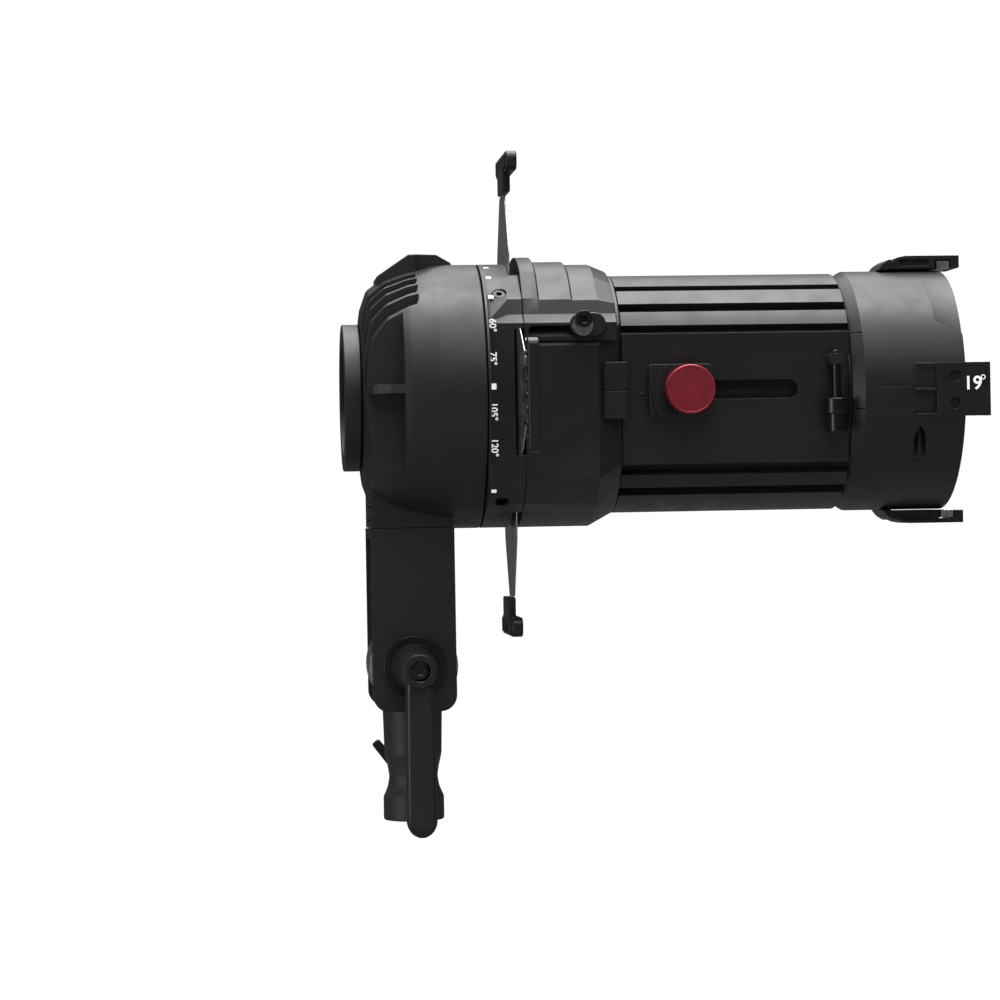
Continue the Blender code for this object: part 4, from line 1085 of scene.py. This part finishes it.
rear_housing()
gate_ring()
scale_print()
gate_housing()
shutters()
slot_cover()
tube_latch()
lens_tube()
front_ring()
yoke()
tilt_clamp()
stand_receiver()
repaint("casting", "condenser_holder", "lens_carriage")
repaint("glass", "condenser_lens_rear", "condenser_lens_front", "lens_rear", "lens_front")
repaint("dark_steel", "condenser_retainer_rear", "condenser_retainer_front", "lens_retainer")
repaint("dark_steel", "aperture_plate", "shutter_retainer")
repaint("steel", "bearing_ring", "tilt_lever_spring")


# Stage, light and camera, in metres

FLOOR_Z = -0.25
FLOOR_REACH = 3.0
CEILING_Z = 1.8
# An overhead strip is (name, near edge, far edge, radiance)
STRIPS = [("top", -0.43, 0.43, 10.0), ("back", 0.43, 1.9, 4.0), ("front", -2.8, -0.43, 2.2)]
STRIP_X = 0.15
STRIP_LENGTH = 1.5
OBJECT_MIDDLE = (0.1, 0.0, 0.17)
CAMERA_PLACE = (-0.087, -1.4, 0.1487)
CAMERA_TARGET = (0.043, 0.0, 0.1487)
CAMERA_ROLL = -1.0
CAMERA_LENS = 107.7


def add_area(name, place, target, size, radiance):
    """A square soft light of this radiance that faces a target."""
    data = bpy.data.lights.new(name, "AREA")
    data.shape = "RECTANGLE"
    data.size, data.size_y = size
    data.energy = radiance * size[0] * size[1] * math.pi
    light = bpy.data.objects.new(name, data)
    light.location = place
    light.rotation_euler = (Vector(target) - Vector(place)).to_track_quat("-Z", "Y").to_euler()
    bpy.context.scene.collection.objects.link(light)


def stage():
    """A pale floor and backdrop, bright to the camera, under soft overhead light with two low cards."""
    bm = bmesh.new()
    bmesh.ops.create_grid(bm, x_segments=4, y_segments=4, size=FLOOR_REACH)
    mesh = bpy.data.meshes.new("pale_floor")
    bm.to_mesh(mesh)
    bm.free()
    floor = bpy.data.objects.new("pale_floor", mesh)
    floor.location = (0, 0, FLOOR_Z)
    bpy.context.scene.collection.objects.link(floor)
    material, tree, shader, place = blank("Pale_floor")
    paint = mixed(tree, noise(tree, place, 40.0, 2.0), (0.14, 0.14, 0.14), (0.17, 0.17, 0.17))
    tree.links.new(paint, shader.inputs["Base Color"])
    shader.inputs["Roughness"].default_value = 0.9
    camera_ray = node(tree, "ShaderNodeLightPath").outputs["Is Camera Ray"]
    tree.links.new(camera_ray, shader.inputs["Emission Strength"])
    shader.inputs["Emission Color"].default_value = (1.0, 1.0, 1.0, 1.0)
    mesh.materials.append(material)

    world = bpy.data.worlds.new("Studio")
    bpy.context.scene.world = world
    world.use_nodes = True
    tree = world.node_tree
    tree.nodes.clear()
    seen = node(tree, "ShaderNodeBackground", {"Color": (1, 1, 1, 1), "Strength": 1.05}).outputs[0]
    lit = node(tree, "ShaderNodeBackground", {"Color": (1, 1, 1, 1), "Strength": 0.08}).outputs[0]
    camera_ray = node(tree, "ShaderNodeLightPath").outputs["Is Camera Ray"]
    chosen = node(tree, "ShaderNodeMixShader", {0: camera_ray, 1: lit, 2: seen}).outputs[0]
    node(tree, "ShaderNodeOutputWorld", {"Surface": chosen})

    for name, low_y, high_y, radiance in STRIPS:
        y, size = (low_y + high_y) / 2, (STRIP_LENGTH, high_y - low_y)
        add_area("Overhead_" + name, (STRIP_X, y, CEILING_Z), (STRIP_X, y, 0.0), size, radiance)
    add_area("Left_card", (-1.4, -0.9, 0.15), OBJECT_MIDDLE, (0.7, 0.6), 4.0)
    add_area("Low_card", (0.1, -1.0, -0.2), OBJECT_MIDDLE, (1.2, 0.3), 0.4)
    view = bpy.context.scene.view_settings
    view.view_transform = "Standard"


def camera():
    data = bpy.data.cameras.new("Camera")
    data.lens = CAMERA_LENS
    data.sensor_width = 36.0
    data.clip_end = 100.0
    obj = bpy.data.objects.new("Camera", data)
    obj.location = CAMERA_PLACE
    facing = (Vector(CAMERA_TARGET) - obj.location).to_track_quat("-Z", "Y")
    roll = Matrix.Rotation(math.radians(CAMERA_ROLL), 3, "Z")
    obj.rotation_euler = (facing.to_matrix() @ roll).to_euler()
    bpy.context.scene.collection.objects.link(obj)
    bpy.context.scene.camera = obj


stage()
camera()
